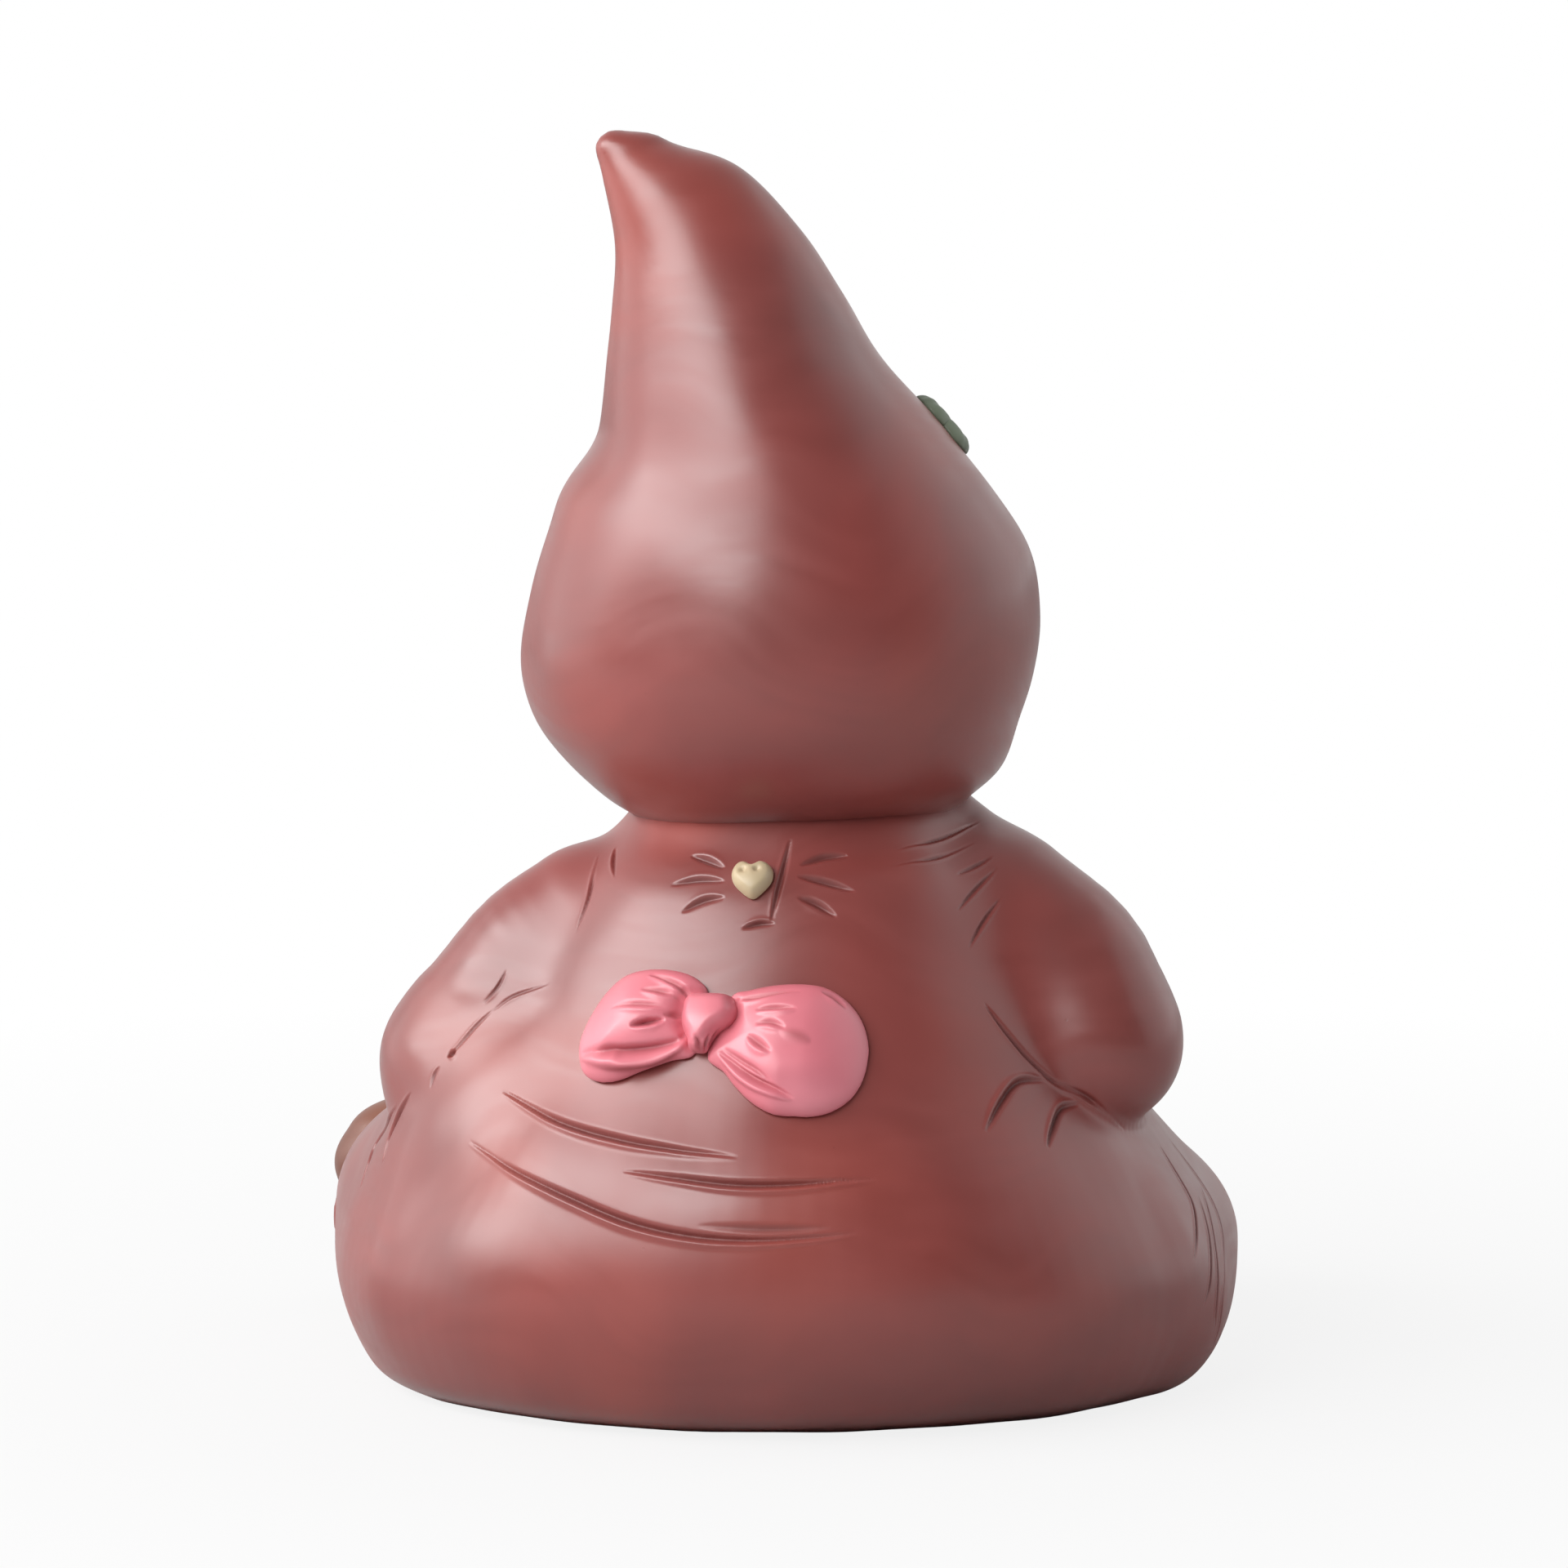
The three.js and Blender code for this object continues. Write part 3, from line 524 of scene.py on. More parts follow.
# Swellings that only one side has: at the right of the nape, the left hip and low on the right thigh
NAPE_SPOTS, NAPE_RADII = [(-20, 1, 72.2), (-22.2, 1, 70.2), (-25.3, 2.5, 66.4)], [4.2, 4.4, 5.3]
HIP_AT, HIP_HALF = (26.5, 5.6, 31), (22, 19, 21.5)
THIGH_SPOTS, THIGH_RADII = [(-45.8, 8, 10.4), (-46.2, -8, 10.4)], [9.2, 9.2]


def aside_at(height):
    return -NECK_ASIDE * (height / BODY_TOP) ** 2


def arm_spots(side):
    sign = SIDES[side]
    shoulder, middle, elbow = (np.array([sign * out, back, up]) for out, back, up in ARM_SPOTS[side])
    wrist = np.array([elbow[0] - sign * 2, WRIST_Y, 40.1])
    return shoulder, middle, elbow, wrist


def ankle_of(side):
    return np.array([SIDES[side] * (KNEE_X + ANKLE_OUT[side]), -42, 12])


def leg_rows(side):
    sign, out, lift = SIDES[side], ANKLE_OUT[side], LEG_LIFT[side]
    return [
        (sign * 26.5, 4, 22 * lift - 1, 24, 17.5 * lift, 22 * lift),
        (sign * KNEE_X, -17, 21 * lift - 1, 20.3, 16.5 * lift, 21 * lift),
        (sign * (KNEE_X + out / 2), -29.5, 16.5 * lift - 1, 15.5, 13 * lift, 16.5 * lift),
        (*ankle_of(side), 11.5, 10, 13),
    ]


def ring_around(first, second, radius):
    """A roll of clay along the line where two surfaces cross."""
    return np.sqrt(first**2 + second**2) - radius


def sculpt_suit():
    clay = Clay(low=(-62, -55, -3), high=(62, 54, 82), pitch=0.55)
    body_rows = [(aside_at(z), 0, z, *reach) for z, *reach in BODY_SECTIONS]
    clay.add(clay.of_skin(loft(body_rows, level=True)))
    for side in SIDES:
        leg = clay.of_skin(loft(leg_rows(side), reference=Z, start=5, end=5))
        clay.add(leg, blend=9.0)
        clay.add(ring_around(leg, clay.y - LEG_END_Y, radius=1.7), blend=1.2)
        shoulder, middle, elbow, wrist = arm_spots(side)
        upper_path = spline(np.column_stack([[shoulder, middle, elbow], UPPER_ARM[side]]), 5)
        upper = clay.of_limb(upper_path[:, :3], upper_path[:, 3])
        lower = clay.of_limb([elbow, (elbow + wrist) / 2, wrist], FOREARM)
        arm = soft_least(upper, lower, blend=3.0)
        blend = np.interp(clay.z, BLEND_HEIGHTS, ARM_BLENDS[side])
        clay.add(np.maximum(arm, WRIST_Y - clay.y), blend.astype(np.float32))
        behind_wrist = clay.y - WRIST_Y
        clay.add(ring_around(arm, behind_wrist - 1.6, radius=1.5), blend=1.0)
        clay.cut(np.maximum(lower + CUFF_WALL, behind_wrist - CUFF_DEPTH), blend=0.4)
    clay.add(clay.of_limb(NAPE_SPOTS, NAPE_RADII), blend=3.0)
    clay.add(clay.of_ellipsoid(HIP_AT, HIP_HALF), blend=5.5)
    clay.add(clay.of_limb(THIGH_SPOTS, THIGH_RADII), blend=4.0)
    clay.soften(0.45)
    clay.field = np.maximum(clay.field, -clay.z)
    vent = np.sqrt(clay.x**2 + (clay.y - VENT_BEHIND) ** 2) - VENT_RADIUS
    clay.cut(np.maximum(vent, clay.z - VENT_DEPTH))
    return clay.skin()


HEAD_AT = np.array([-NECK_ASIDE, 0, 72])
HEAD_TILT = math.radians(4.5)
HEAD_MIDDLE = np.array([0, -5, 24.5])
HEAD_HALF = np.array([26, 25, 21.5])
HEM_RISE = 1.4
BULB_ROWS = [
    # share of the head's height, aside, behind, half-width, half-depth
    (0, -1.2, 0.5, 20.2, 17),
    (0.09, -1, 0.8, 25.2, 22.5),
    (0.23, 0.2, 1.2, 29.1, 27),
    (0.36, 0.7, 1.5, 31.7, 29.3),
    (0.52, 0.5, 1.5, 32.8, 30),
    (0.71, -0.2, 1.7, 31.6, 28.8),
    (0.89, 0.2, 2.2, 28.2, 26),
]
PEAK_ROWS = [
    # rise, aside, behind, half-width, half-depth
    (8.2, 0.5, 2.8, 22.9, 22.1),
    (10.2, 2.5, 3.3, 17.4, 17.6),
    (8.3, 3.8, 3.7, 14.5, 13.8),
    (8.4, 5.6, 3.8, 11.7, 9.8),
    (8.5, 9.6, 3.6, 8.6, 5.4),
    (3.8, 14.4, 3.4, 4.6, 2.6),
]
OPENING_HALF, OPENING_RADIUS = (20.5, 19), 19.5
OPENING_BACK, RIM_BACK = -12, -8
# On its left the hood is creased where the peak, with a root of its own, stands on a round top.
ROUND_TOP = [
    (0.4, 2.4, 45, 25.6, 22.6, 22.6), (0.6, 2.4, 50.5, 20, 17.5, 17.5), (0.6, 2.4, 55, 11.5, 10, 10),
]
PEAK_ROOT = [
    (0.4, 3, 30, 21.2, 19, 19), (0.4, 3, 39, 21.4, 20, 20), (0.3, 2.8, 47.9, 21.4, 20.6, 20.6),
]
# The crease's middle in degrees round an upright axis, and how far from it the crease is full and ends
CREASE_AXIS, CREASE_MIDDLE = (1, 2), -8
CREASE_FULL, CREASE_END = 25, 62
TIP_SPOTS, TIP_RADII = [(11.5, 3.5, 83.5), (16.4, 3.4, 87.6)], [3.6, 1.5]


def head_to_world(points):
    cos, sin = math.cos(HEAD_TILT), math.sin(HEAD_TILT)
    x, y, z = points.T
    return np.column_stack([x * cos + z * sin, y, z * cos - x * sin]) + HEAD_AT


def hood_rows():
    bulb = [(a, b, share * 2 * HEAD_HALF[2] + HEM_RISE, s, d, d) for share, a, b, s, d in BULB_ROWS]
    height = bulb[-1][2]
    peak = []
    for rise, aside, behind, side, depth in PEAK_ROWS:
        height += rise
        peak.append((aside, behind, height, side, depth, depth))
    return bulb, peak


def face_opening(clay):
    x, z = clay.x - HEAD_MIDDLE[0], clay.z - HEAD_MIDDLE[2]
    near = np.sqrt((x / OPENING_HALF[0]) ** 2 + (z / OPENING_HALF[1]) ** 2)
    return ((near - 1) * OPENING_RADIUS).astype(np.float32)


def sculpt_hood():
    clay = Clay(low=(-37, -33, -4), high=(37, 36, 92), pitch=0.55)
    bulb, peak = hood_rows()
    whole = clay.of_skin(loft(bulb + peak, level=True, start=3, end=1.2))
    ball = clay.of_skin(loft(bulb + ROUND_TOP, level=True, start=3, end=2))
    cone = clay.of_skin(loft(PEAK_ROOT + peak[1:], level=True, end=1.6))
    creased = soft_least(ball, cone, blend=2.2)
    angle = np.degrees(np.arctan2(clay.y - CREASE_AXIS[1], clay.x - CREASE_AXIS[0]))
    share = np.clip((CREASE_END - np.abs(angle - CREASE_MIDDLE)) / (CREASE_END - CREASE_FULL), 0, 1)
    share = (share * share * (3 - 2 * share) * np.ones(clay.shape)).astype(np.float32)
    clay.field = whole + share * (creased - whole)
    clay.add(clay.of_limb(TIP_SPOTS, TIP_RADII), blend=1.5)
    opening = face_opening(clay)
    clay.cut(np.maximum(opening, clay.y - OPENING_BACK), blend=3.0)
    rim = ring_around(whole + 1.2, opening - 0.6, radius=2.3)
    clay.add(np.maximum(rim, clay.y - RIM_BACK), blend=1.6)
    clay.soften(0.45)
    points, quads = clay.skin()
    return head_to_world(points), quads


def face_y(x, z):
    across, over = x / HEAD_HALF[0], (z - HEAD_MIDDLE[2]) / HEAD_HALF[2]
    return HEAD_MIDDLE[1] - HEAD_HALF[1] * math.sqrt(1 - across**2 - over**2)


CHEEK_X, CHEEK_Z, CHEEK_SINK, CHEEK_HALF = 12.5, 19.5, 4.25, (8.3, 6.6, 7.3)
BLUSH_HALF = (6.5, 5.5)
BROW_SPOTS, BROW_SINK, BROW_RADII = ((4.2, 35.6), (8.6, 36.4), (12.6, 34.4)), 0.9, [0.8, 1.4, 0.8]
EYE_X, EYE_Z, EYE_RADIUS = 8.2, 29, 2.2
SOCKET_OUT, SOCKET_HALF = 1.6, (3.2, 2.6, 3.0)
NOSE_HALF = (4.4, 4.4, 4.0)
CHIN_AT, CHIN_HALF = (0, -16, 12.5), (15.5, 9.5, 10)
LIP_X, LIP_SINK, LIP_RADII = (-3.5, -1.8, 0, 1.8, 3.5), 0.6, [0.5, 1.1, 1.4, 1.1, 0.5]
FACE_BACK = -11


def chin_y(x, z):
    across, over = x / CHIN_HALF[0], (z - CHIN_AT[2]) / CHIN_HALF[2]
    return CHIN_AT[1] - CHIN_HALF[1] * math.sqrt(1 - across**2 - over**2)


def lip_z(x):
    return 8.8 + x * x / 20


def sculpt_face():
    clay = Clay(low=(-25, -37, 2), high=(25, -8, 47), pitch=0.4)
    clay.add(clay.of_ellipsoid(HEAD_MIDDLE, HEAD_HALF))
    for sign in SIDES.values():
        cheek = (sign * CHEEK_X, face_y(CHEEK_X, CHEEK_Z) + CHEEK_SINK, CHEEK_Z)
        clay.add(clay.of_ellipsoid(cheek, CHEEK_HALF), blend=3.5)
        brow = [(sign * x, face_y(x, z) + BROW_SINK, z) for x, z in BROW_SPOTS]
        clay.add(clay.of_limb(brow, BROW_RADII), blend=3.0)
        socket = (sign * EYE_X, face_y(EYE_X, EYE_Z) - SOCKET_OUT, EYE_Z)
        clay.cut(clay.of_ellipsoid(socket, SOCKET_HALF), blend=1.8)
    clay.add(clay.of_ellipsoid(CHIN_AT, CHIN_HALF), blend=5.0)
    lip = [(x, chin_y(x, lip_z(x)) + LIP_SINK, lip_z(x)) for x in LIP_X]
    clay.add(clay.of_limb(lip, LIP_RADII), blend=1.8)
    clay.field = np.maximum(clay.field, clay.y - FACE_BACK)
    clay.soften(0.4)
    return clay.skin()


def sculpt_bead(middle, half, pitch):
    clay = Clay(np.subtract(middle, half) - 3 * pitch, np.add(middle, half) + 3 * pitch, pitch)
    clay.add(clay.of_ellipsoid(middle, half))
    points, quads = clay.skin()
    return head_to_world(relax(points, quads, 2)), quads


SMILE = [(-7, 14.3), (-4.5, 12), (0, 10.9), (4.5, 12), (7, 14.3)]
SMILE_ENDS = [[(-7.9, 15.2), (-7.3, 14.2), (-6.5, 13.8)], [(7.9, 15.2), (7.3, 14.2), (6.5, 13.8)]]

# The hand, with the palm's middle at its origin: fingers run towards -Y and curl down
PALM_HALF = (6.4, 7.5, 4.3)
FINGER_PLACES, FINGER_SPACING = (-1.5, -0.5, 0.5, 1.5), 3.3
FINGER_LENGTH, FINGER_RADII = 7.5, [2.0, 2.05, 1.75]
HAND_PLACE = np.array([0, -3.75, -2.5])  # from the wrist
HAND_PITCH, HAND_YAW = 20, 8


def sculpt_hand(side):
    sign = SIDES[side]
    clay = Clay(low=(-13, -20, -9), high=(13, 11, 8), pitch=0.32)
    clay.add(clay.of_ellipsoid((0, 0, 0), PALM_HALF))
    for place in FINGER_PLACES:
        across = place * FINGER_SPACING
        reach = PALM_HALF[1] + FINGER_LENGTH * (1 - 0.1 * abs(place))
        finger = [(across, -3.5, 0.6), (across * 1.06, -0.6 * reach, 0.7), (across * 1.15, -reach, -2.6)]
        clay.add(clay.of_limb(finger, FINGER_RADII), blend=1.1)
    thumb = [(-sign * 3.3, 0, 0), (-sign * 6.6, -4.2, 0.2), (-sign * 8.6, -8.4, -1.3)]
    clay.add(clay.of_limb(thumb, [2.6, 2.3, 1.9]), blend=1.4)
    stub = [(0, 3, 0.8), (0, 9.5, 2.4)]
    clay.add(clay.of_limb(stub, [5.2, 4.9]), blend=2.0)
    clay.soften(0.3)
    points, quads = clay.skin()
    *_, wrist = arm_spots(side)
    return turned(points, HAND_PITCH, sign * HAND_YAW) + (wrist + HAND_PLACE), quads


def turned(points, pitch, yaw):
    """Points turned about z by yaw, then about x by pitch, in degrees."""
    x, y, z = points.T
    for_pitch, for_yaw = math.radians(pitch), math.radians(yaw)
    x, y = (x * math.cos(for_yaw) - y * math.sin(for_yaw), x * math.sin(for_yaw) + y * math.cos(for_yaw))
    sin, cos = math.sin(for_pitch), math.cos(for_pitch)
    return np.column_stack([x, y * cos - z * sin, y * sin + z * cos])


# The shoe stands on its heel, with the toe up and the sole towards -Y
SHOE_HEIGHT = 26.2
SHOE_HALF_DEPTH = 7.5
SHOE_ROWS = [
    # share of the height, half-width, share of the half-depth
    (0.13, 9, 0.9),
    (0.4, 8.8, 1),
    (0.7, 11.9, 0.95),
    (0.88, 9.9, 0.8),
]
SHOE_TURN = {"left": 14, "right": 12}
SHOE_LEAN = 6
WELT_Y, WELT_WIDTH, WELT_DEPTH = -4.6, 0.5, 0.55
TOE_AT, TOE_HALF = (0, -0.5, 18.8), (12.1, 8.3, 8.3)
TONGUE_SPOTS, TONGUE_RADII = [(0, 5.5, 14), (0, 6.6, 21), (0, 3.8, 26)], [3.2, 3.0, 2.2]
SOLE_HALF_DEPTH, SOLE_DROP, SOLE_MARGIN = 2.6, 0.6, 1.8
SOLE_FACE_Y, SOLE_CURVE, SOLE_MIDDLE_Z = -9.6, 0.002, 12
HEEL_EDGE_Z, HEEL_EDGE_HALF, HEEL_EDGE_Y = 9.5, 0.7, -8.6


def shoe_skin(y, half_depth, drop=0, margin=0):
    rows = [
        (0, y, up * SHOE_HEIGHT - drop, half - margin, half_depth * share, half_depth * share)
        for up, half, share in SHOE_ROWS
    ]
    return loft(rows, level=True, start=4.5, end=4.5)


def in_shoe_place(clay, side):
    """Softens a shoe's form and moves its skin to the ankle."""
    clay.soften(0.3)
    points, quads = clay.skin()
    place = ankle_of(side) * (1, 1, 0) - SHOE_HALF_DEPTH * Y
    return turned(points, SHOE_LEAN, SIDES[side] * SHOE_TURN[side]) + place, quads


def sculpt_shoe(side):
    clay = Clay(low=(-14, -11, -5), high=(14, 12, 31), pitch=0.36)
    clay.add(clay.of_skin(shoe_skin(0, SHOE_HALF_DEPTH)))
    welt = np.exp(-((np.abs(clay.y - WELT_Y) / WELT_WIDTH) ** 2))
    clay.field = clay.field + WELT_DEPTH * welt.astype(np.float32)
    clay.add(clay.of_ellipsoid(TOE_AT, TOE_HALF), blend=2.0)
    clay.add(clay.of_limb(TONGUE_SPOTS, TONGUE_RADII), blend=1.2)
    return in_shoe_place(clay, side)


def sculpt_sole(side):
    clay = Clay(low=(-14, -13, -5), high=(14, 0, 31), pitch=0.36)
    clay.add(clay.of_skin(shoe_skin(-SHOE_HALF_DEPTH, SOLE_HALF_DEPTH, SOLE_DROP, SOLE_MARGIN)))
    face = SOLE_FACE_Y - clay.y + SOLE_CURVE * (clay.z - SOLE_MIDDLE_Z) ** 2
    clay.field = np.maximum(clay.field, face)
    heel_edge = np.abs(clay.z - HEEL_EDGE_Z) - HEEL_EDGE_HALF
    clay.cut(np.maximum(heel_edge, clay.y - HEEL_EDGE_Y), blend=0.5)
    return in_shoe_place(clay, side)


# Strokes on the suit, as pixels of the photograph from one end to the other
FOLDS_UNDER_BOW = [
    [(614, 1335), (685, 1373), (756, 1394), (828, 1407), (903, 1417)],
    [(762, 1434), (828, 1442), (899, 1450), (971, 1450), (1074, 1444)],
    [(574, 1397), (631, 1434), (703, 1469), (774, 1498), (846, 1514), (917, 1519), (989, 1516), (1049, 1510)],
]
FAINT_FOLDS = [
    [(853, 1501), (935, 1505), (1017, 1503)],
]
BUTTON_GOUGES = [
    [(887, 1063), (866, 1053), (846, 1048)],
    [(887, 1079), (855, 1077), (822, 1084)],
    [(887, 1099), (861, 1103), (835, 1117)],
    [(980, 1060), (1008, 1050), (1039, 1048)],
    [(976, 1073), (1010, 1080), (1047, 1092)],
    [(977, 1099), (1000, 1107), (1024, 1123)],
]
PLACKET = [
    [(968, 1027), (960, 1062), (951, 1098), (944, 1130)],
    [(948, 1131), (930, 1131), (909, 1137)],
]
SHOULDER_CUTS = [
    [(1098, 1041), (1150, 1028), (1199, 1006)],
    [(1093, 1061), (1145, 1051), (1193, 1032)],
    [(1172, 1071), (1198, 1059), (1216, 1048)],
    [(1172, 1116), (1196, 1088), (1222, 1062)],
    [(1186, 1162), (1205, 1128), (1227, 1098)],
    [(734, 1046), (722, 1094), (705, 1142)],
    [(754, 1037), (751, 1055), (753, 1074)],
    [(592, 1229), (608, 1210), (620, 1188)],
]
SOFT_CUTS = [
    [(602, 1239), (630, 1219), (673, 1204)],
    [(604, 1236), (585, 1254), (562, 1280), (549, 1293)],
    [(538, 1305), (531, 1318), (527, 1333)],
]
ARM_EDGES = [
    [(1205, 1228), (1236, 1268), (1262, 1298), (1296, 1328)],
    [(1262, 1298), (1284, 1320), (1334, 1346), (1378, 1384)],
    [(548, 1294), (553, 1290), (558, 1286)],
]
HIP_HOOKS = [
    [(1279, 1323), (1248, 1325), (1227, 1349), (1207, 1386)],
    [(1322, 1351), (1300, 1358), (1288, 1386), (1283, 1406)],
]
THIGH_CUTS = [
    [(504, 1337), (479, 1387), (468, 1425)],
    [(487, 1353), (464, 1395), (451, 1425), (441, 1456)],
    [(1419, 1401), (1442, 1439), (1460, 1473), (1465, 1505), (1462, 1544)],
    [
        (1430, 1393), (1460, 1432), (1483, 1468), (1496, 1505), (1499, 1547), (1497, 1592), (1492, 1627),
        (1484, 1650),
    ],
    [(1469, 1450), (1483, 1496), (1490, 1542), (1490, 1592), (1487, 1627)],
    [(1467, 1464), (1479, 1505), (1483, 1547), (1481, 1576), (1474, 1599)],
]


def back_strokes():
    kinds = [
        # lines, width, depth, lip
        (FOLDS_UNDER_BOW, 0.45, 0.7, 0.4),
        (FAINT_FOLDS, 0.5, 0.2, 0.2),
        (BUTTON_GOUGES, 0.42, 0.6, 0.1),
        (PLACKET, 0.3, 0.6, 0.2),
        (SHOULDER_CUTS, 0.22, 0.36, 0.3),
        (SOFT_CUTS, 0.22, 0.2, 0.3),
        (ARM_EDGES, 0.34, 0.6, 0.15),
        (HIP_HOOKS, 0.42, 0.65, 0.4),
        (THIGH_CUTS, 0.3, 0.52, 0.3),
    ]
    return [Stroke(photo_rays(pixels), *shape) for lines, *shape in kinds for pixels in lines]


# Strokes on the front, in mm across and up. All but the folds of the lap are drawn for both sides.
ELBOW_FOLDS = [[(27, 52), (30, 47), (34, 44.5)], [(28.5, 58), (33, 54), (38, 52)]]
LAP_FOLDS = [[(-19, 36), (0, 32.5), (19, 36)], [(-24, 31.5), (0, 26.5), (24, 31.5)]]
COLLAR_CUTS = [[(6, 69), (10, 65), (15, 63)], [(9, 70), (14, 67.5), (19, 67)]]


def front_strokes():
    strokes = [Stroke(front_rays(spots), width=0.6, depth=0.7, lip=0.4) for spots in LAP_FOLDS]
    for sign in SIDES.values():
        for spots in ELBOW_FOLDS + COLLAR_CUTS:
            rays = front_rays([(sign * x, z) for x, z in spots])
            strokes.append(Stroke(rays, width=0.4, depth=0.45, lip=0.3))
    return strokes


# The bow's and the button's outlines and folds in the photograph
LOOP_OUTLINES = {
    "left": [
        (869, 1222), (856, 1203), (830, 1192), (795, 1188), (764, 1193), (739, 1211), (718, 1239),
        (705, 1268), (705, 1292), (713, 1310), (732, 1320), (757, 1320), (787, 1310), (823, 1299),
        (852, 1292), (862, 1262),
    ],
    "right": [
        (893, 1224), (920, 1215), (948, 1208), (981, 1204), (1007, 1206), (1030, 1219), (1045, 1239),
        (1052, 1265), (1051, 1288), (1045, 1313), (1032, 1336), (1012, 1353), (991, 1361), (968, 1363),
        (945, 1362), (922, 1350), (902, 1331), (888, 1313), (868, 1296), (874, 1262),
    ],
}
KNOT_OUTLINE = [
    (846, 1223), (870, 1220), (896, 1223), (904, 1235), (905, 1247), (897, 1258), (883, 1268), (874, 1280),
    (867, 1291), (857, 1292), (848, 1288), (846, 1275), (840, 1262), (838, 1244),
]
# Each fold: pixels, width, depth, lip
LOOP_FOLDS = {
    "left": [
        ([(712, 1291), (744, 1287), (764, 1288), (795, 1285), (823, 1277), (842, 1266)], 0.7, 1.3, 0.6),
        ([(771, 1256), (787, 1252), (814, 1248)], 0.4, 1.5, 0.15),
        ([(748, 1234), (782, 1229), (815, 1233)], 0.4, 0.35, 0.6),
        ([(784, 1211), (807, 1213), (834, 1226)], 0.4, 0.4, 0.6),
        ([(795, 1193), (823, 1201), (838, 1213), (847, 1226)], 0.45, 0.6, 0.4),
        ([(812, 1243), (826, 1243), (840, 1246)], 0.4, 0.4, 0.4),
        ([(716, 1302), (757, 1305), (800, 1299), (836, 1283)], 0.6, -0.4, 0.0),
    ],
    "right": [
        ([(880, 1288), (899, 1303), (922, 1320), (950, 1334), (972, 1345)], 0.5, 0.9, 0.6),
        ([(886, 1284), (905, 1298), (926, 1311), (945, 1325)], 0.4, 0.6, 0.5),
        ([(925, 1237), (945, 1233), (976, 1234)], 0.4, 0.55, 0.5),
        ([(925, 1254), (943, 1251), (962, 1259)], 0.4, 0.4, 0.5),
        ([(915, 1267), (930, 1278), (944, 1288)], 0.45, 0.5, 0.5),
        ([(897, 1228), (922, 1221), (948, 1216), (980, 1213)], 0.4, 0.45, 0.4),
        ([(1006, 1214), (1022, 1221), (1036, 1235)], 0.5, 0.3, 0.4),
        ([(955, 1262), (975, 1268), (993, 1276)], 0.7, -0.25, 0.0),
    ],
}
KNOT_FOLDS = [
    ([(849, 1266), (856, 1276), (858, 1289)], 0.35, 0.5, 0.4),
    ([(869, 1266), (865, 1277), (862, 1289)], 0.35, 0.45, 0.4),
    ([(881, 1260), (873, 1271), (868, 1281)], 0.35, 0.25, 0.4),
]
HEART_OUTLINE = [
    (922, 1064), (931, 1058), (941, 1060), (947, 1069), (945, 1082), (935, 1094), (922, 1102),
    (908, 1094), (899, 1083), (897, 1070), (903, 1060), (913, 1058),
]
HEART_DIMPLES = [(912, 1074), (929, 1073)]
KNOT_AT, HEART_AT = (872, 1255), (922, 1080)


def pixel_patch(tree, pixel):
    return Patch(tree, camera_at, pixel_ray(pixel))


def flat_outline(patch, pixels, steps=6):
    return closed_spline(patch.flatten(photo_rays(pixels)), steps)


def dome(edge, reach):
    """How far up a round top is, from 0 at its edge to 1 where the edge is the reach away."""
    share = np.clip(-edge / reach, 0, 1)
    return share * (2 - share)


def mound(outline, u, v, reach):
    """A round rise, 1 over the middle of an outline and 0 where that is the reach away."""
    middle = (outline.min(0) + outline.max(0)) / 2
    return np.clip(1 - ((u - middle[0]) ** 2 + (v - middle[1]) ** 2) / reach**2, 0, 1)


def add_bow(suit_tree, material):
    patch = pixel_patch(suit_tree, KNOT_AT)
    knot = flat_outline(patch, KNOT_OUTLINE)

    def loop_height(u, v, edge):
        """Thin where the knot pinches it, and full further out."""
        fullness = np.clip((np.hypot(u, v) - 2.8) / 8, 0, 1)
        pinch = np.exp(-((np.clip(outline_distance(knot, u, v), 0, None) / 0.7) ** 2))
        return 1.2 + (0.8 + 2.6 * fullness * (2 - fullness)) * dome(edge, 6.8) - 0.6 * pinch

    def knot_height(u, v, edge):
        return 1.8 + 1.2 * dome(edge, 1.6) + 1.4 * mound(knot, u - 0.9, v + 0.9, 4.8)

    for side, pixels in LOOP_OUTLINES.items():
        outline = flat_outline(patch, pixels)
        pad = cushion(patch, outline, loop_height, pitch=0.2, rounding=1.4, undercut=0.7, swell=0.3)
        finish_pad(f"bow_{side}_loop", pad, material, LOOP_FOLDS[side])
    pad = cushion(patch, knot, knot_height, pitch=0.18, rounding=1.2, undercut=0.4, swell=0.1)
    finish_pad("bow_knot", pad, material, KNOT_FOLDS)


def add_heart(suit_tree, material):
    patch = pixel_patch(suit_tree, HEART_AT)
    heart = flat_outline(patch, HEART_OUTLINE)
    dimples = patch.flatten(photo_rays(HEART_DIMPLES))

    def height(u, v, edge):
        holes = sum(np.exp(-((u - a) ** 2 + (v - b) ** 2) / 0.16) for a, b in dimples)
        return 0.8 + 0.5 * dome(edge, 0.8) + 0.9 * mound(heart, u, v, 3.0) - 0.5 * holes

    pad = cushion(patch, heart, height, pitch=0.12, rounding=0.9, undercut=0.4, swell=0.1)
    finish_pad("heart_button", pad, material)


LEAF_START = np.array([0, -0.2, 50.2])
LEAF_LENGTH, LEAF_HALF_WIDTH = 6.8, 3.0
LEAF_OVERLAP = 2.0
LEAF_ANGLES = {"upper": 76, "lower": -80}


def leaf_outline():
    share = np.linspace(0, 1, 12)[1:-1]
    half = LEAF_HALF_WIDTH * np.sin(math.pi * share**0.85) ** 0.8
    along = (share - 0.5) * LEAF_LENGTH
    one_side, other_side = np.column_stack([half, along]), np.column_stack([-half, along])[::-1]
    return np.vstack([(0, -LEAF_LENGTH / 2), one_side, (0, LEAF_LENGTH / 2), other_side])


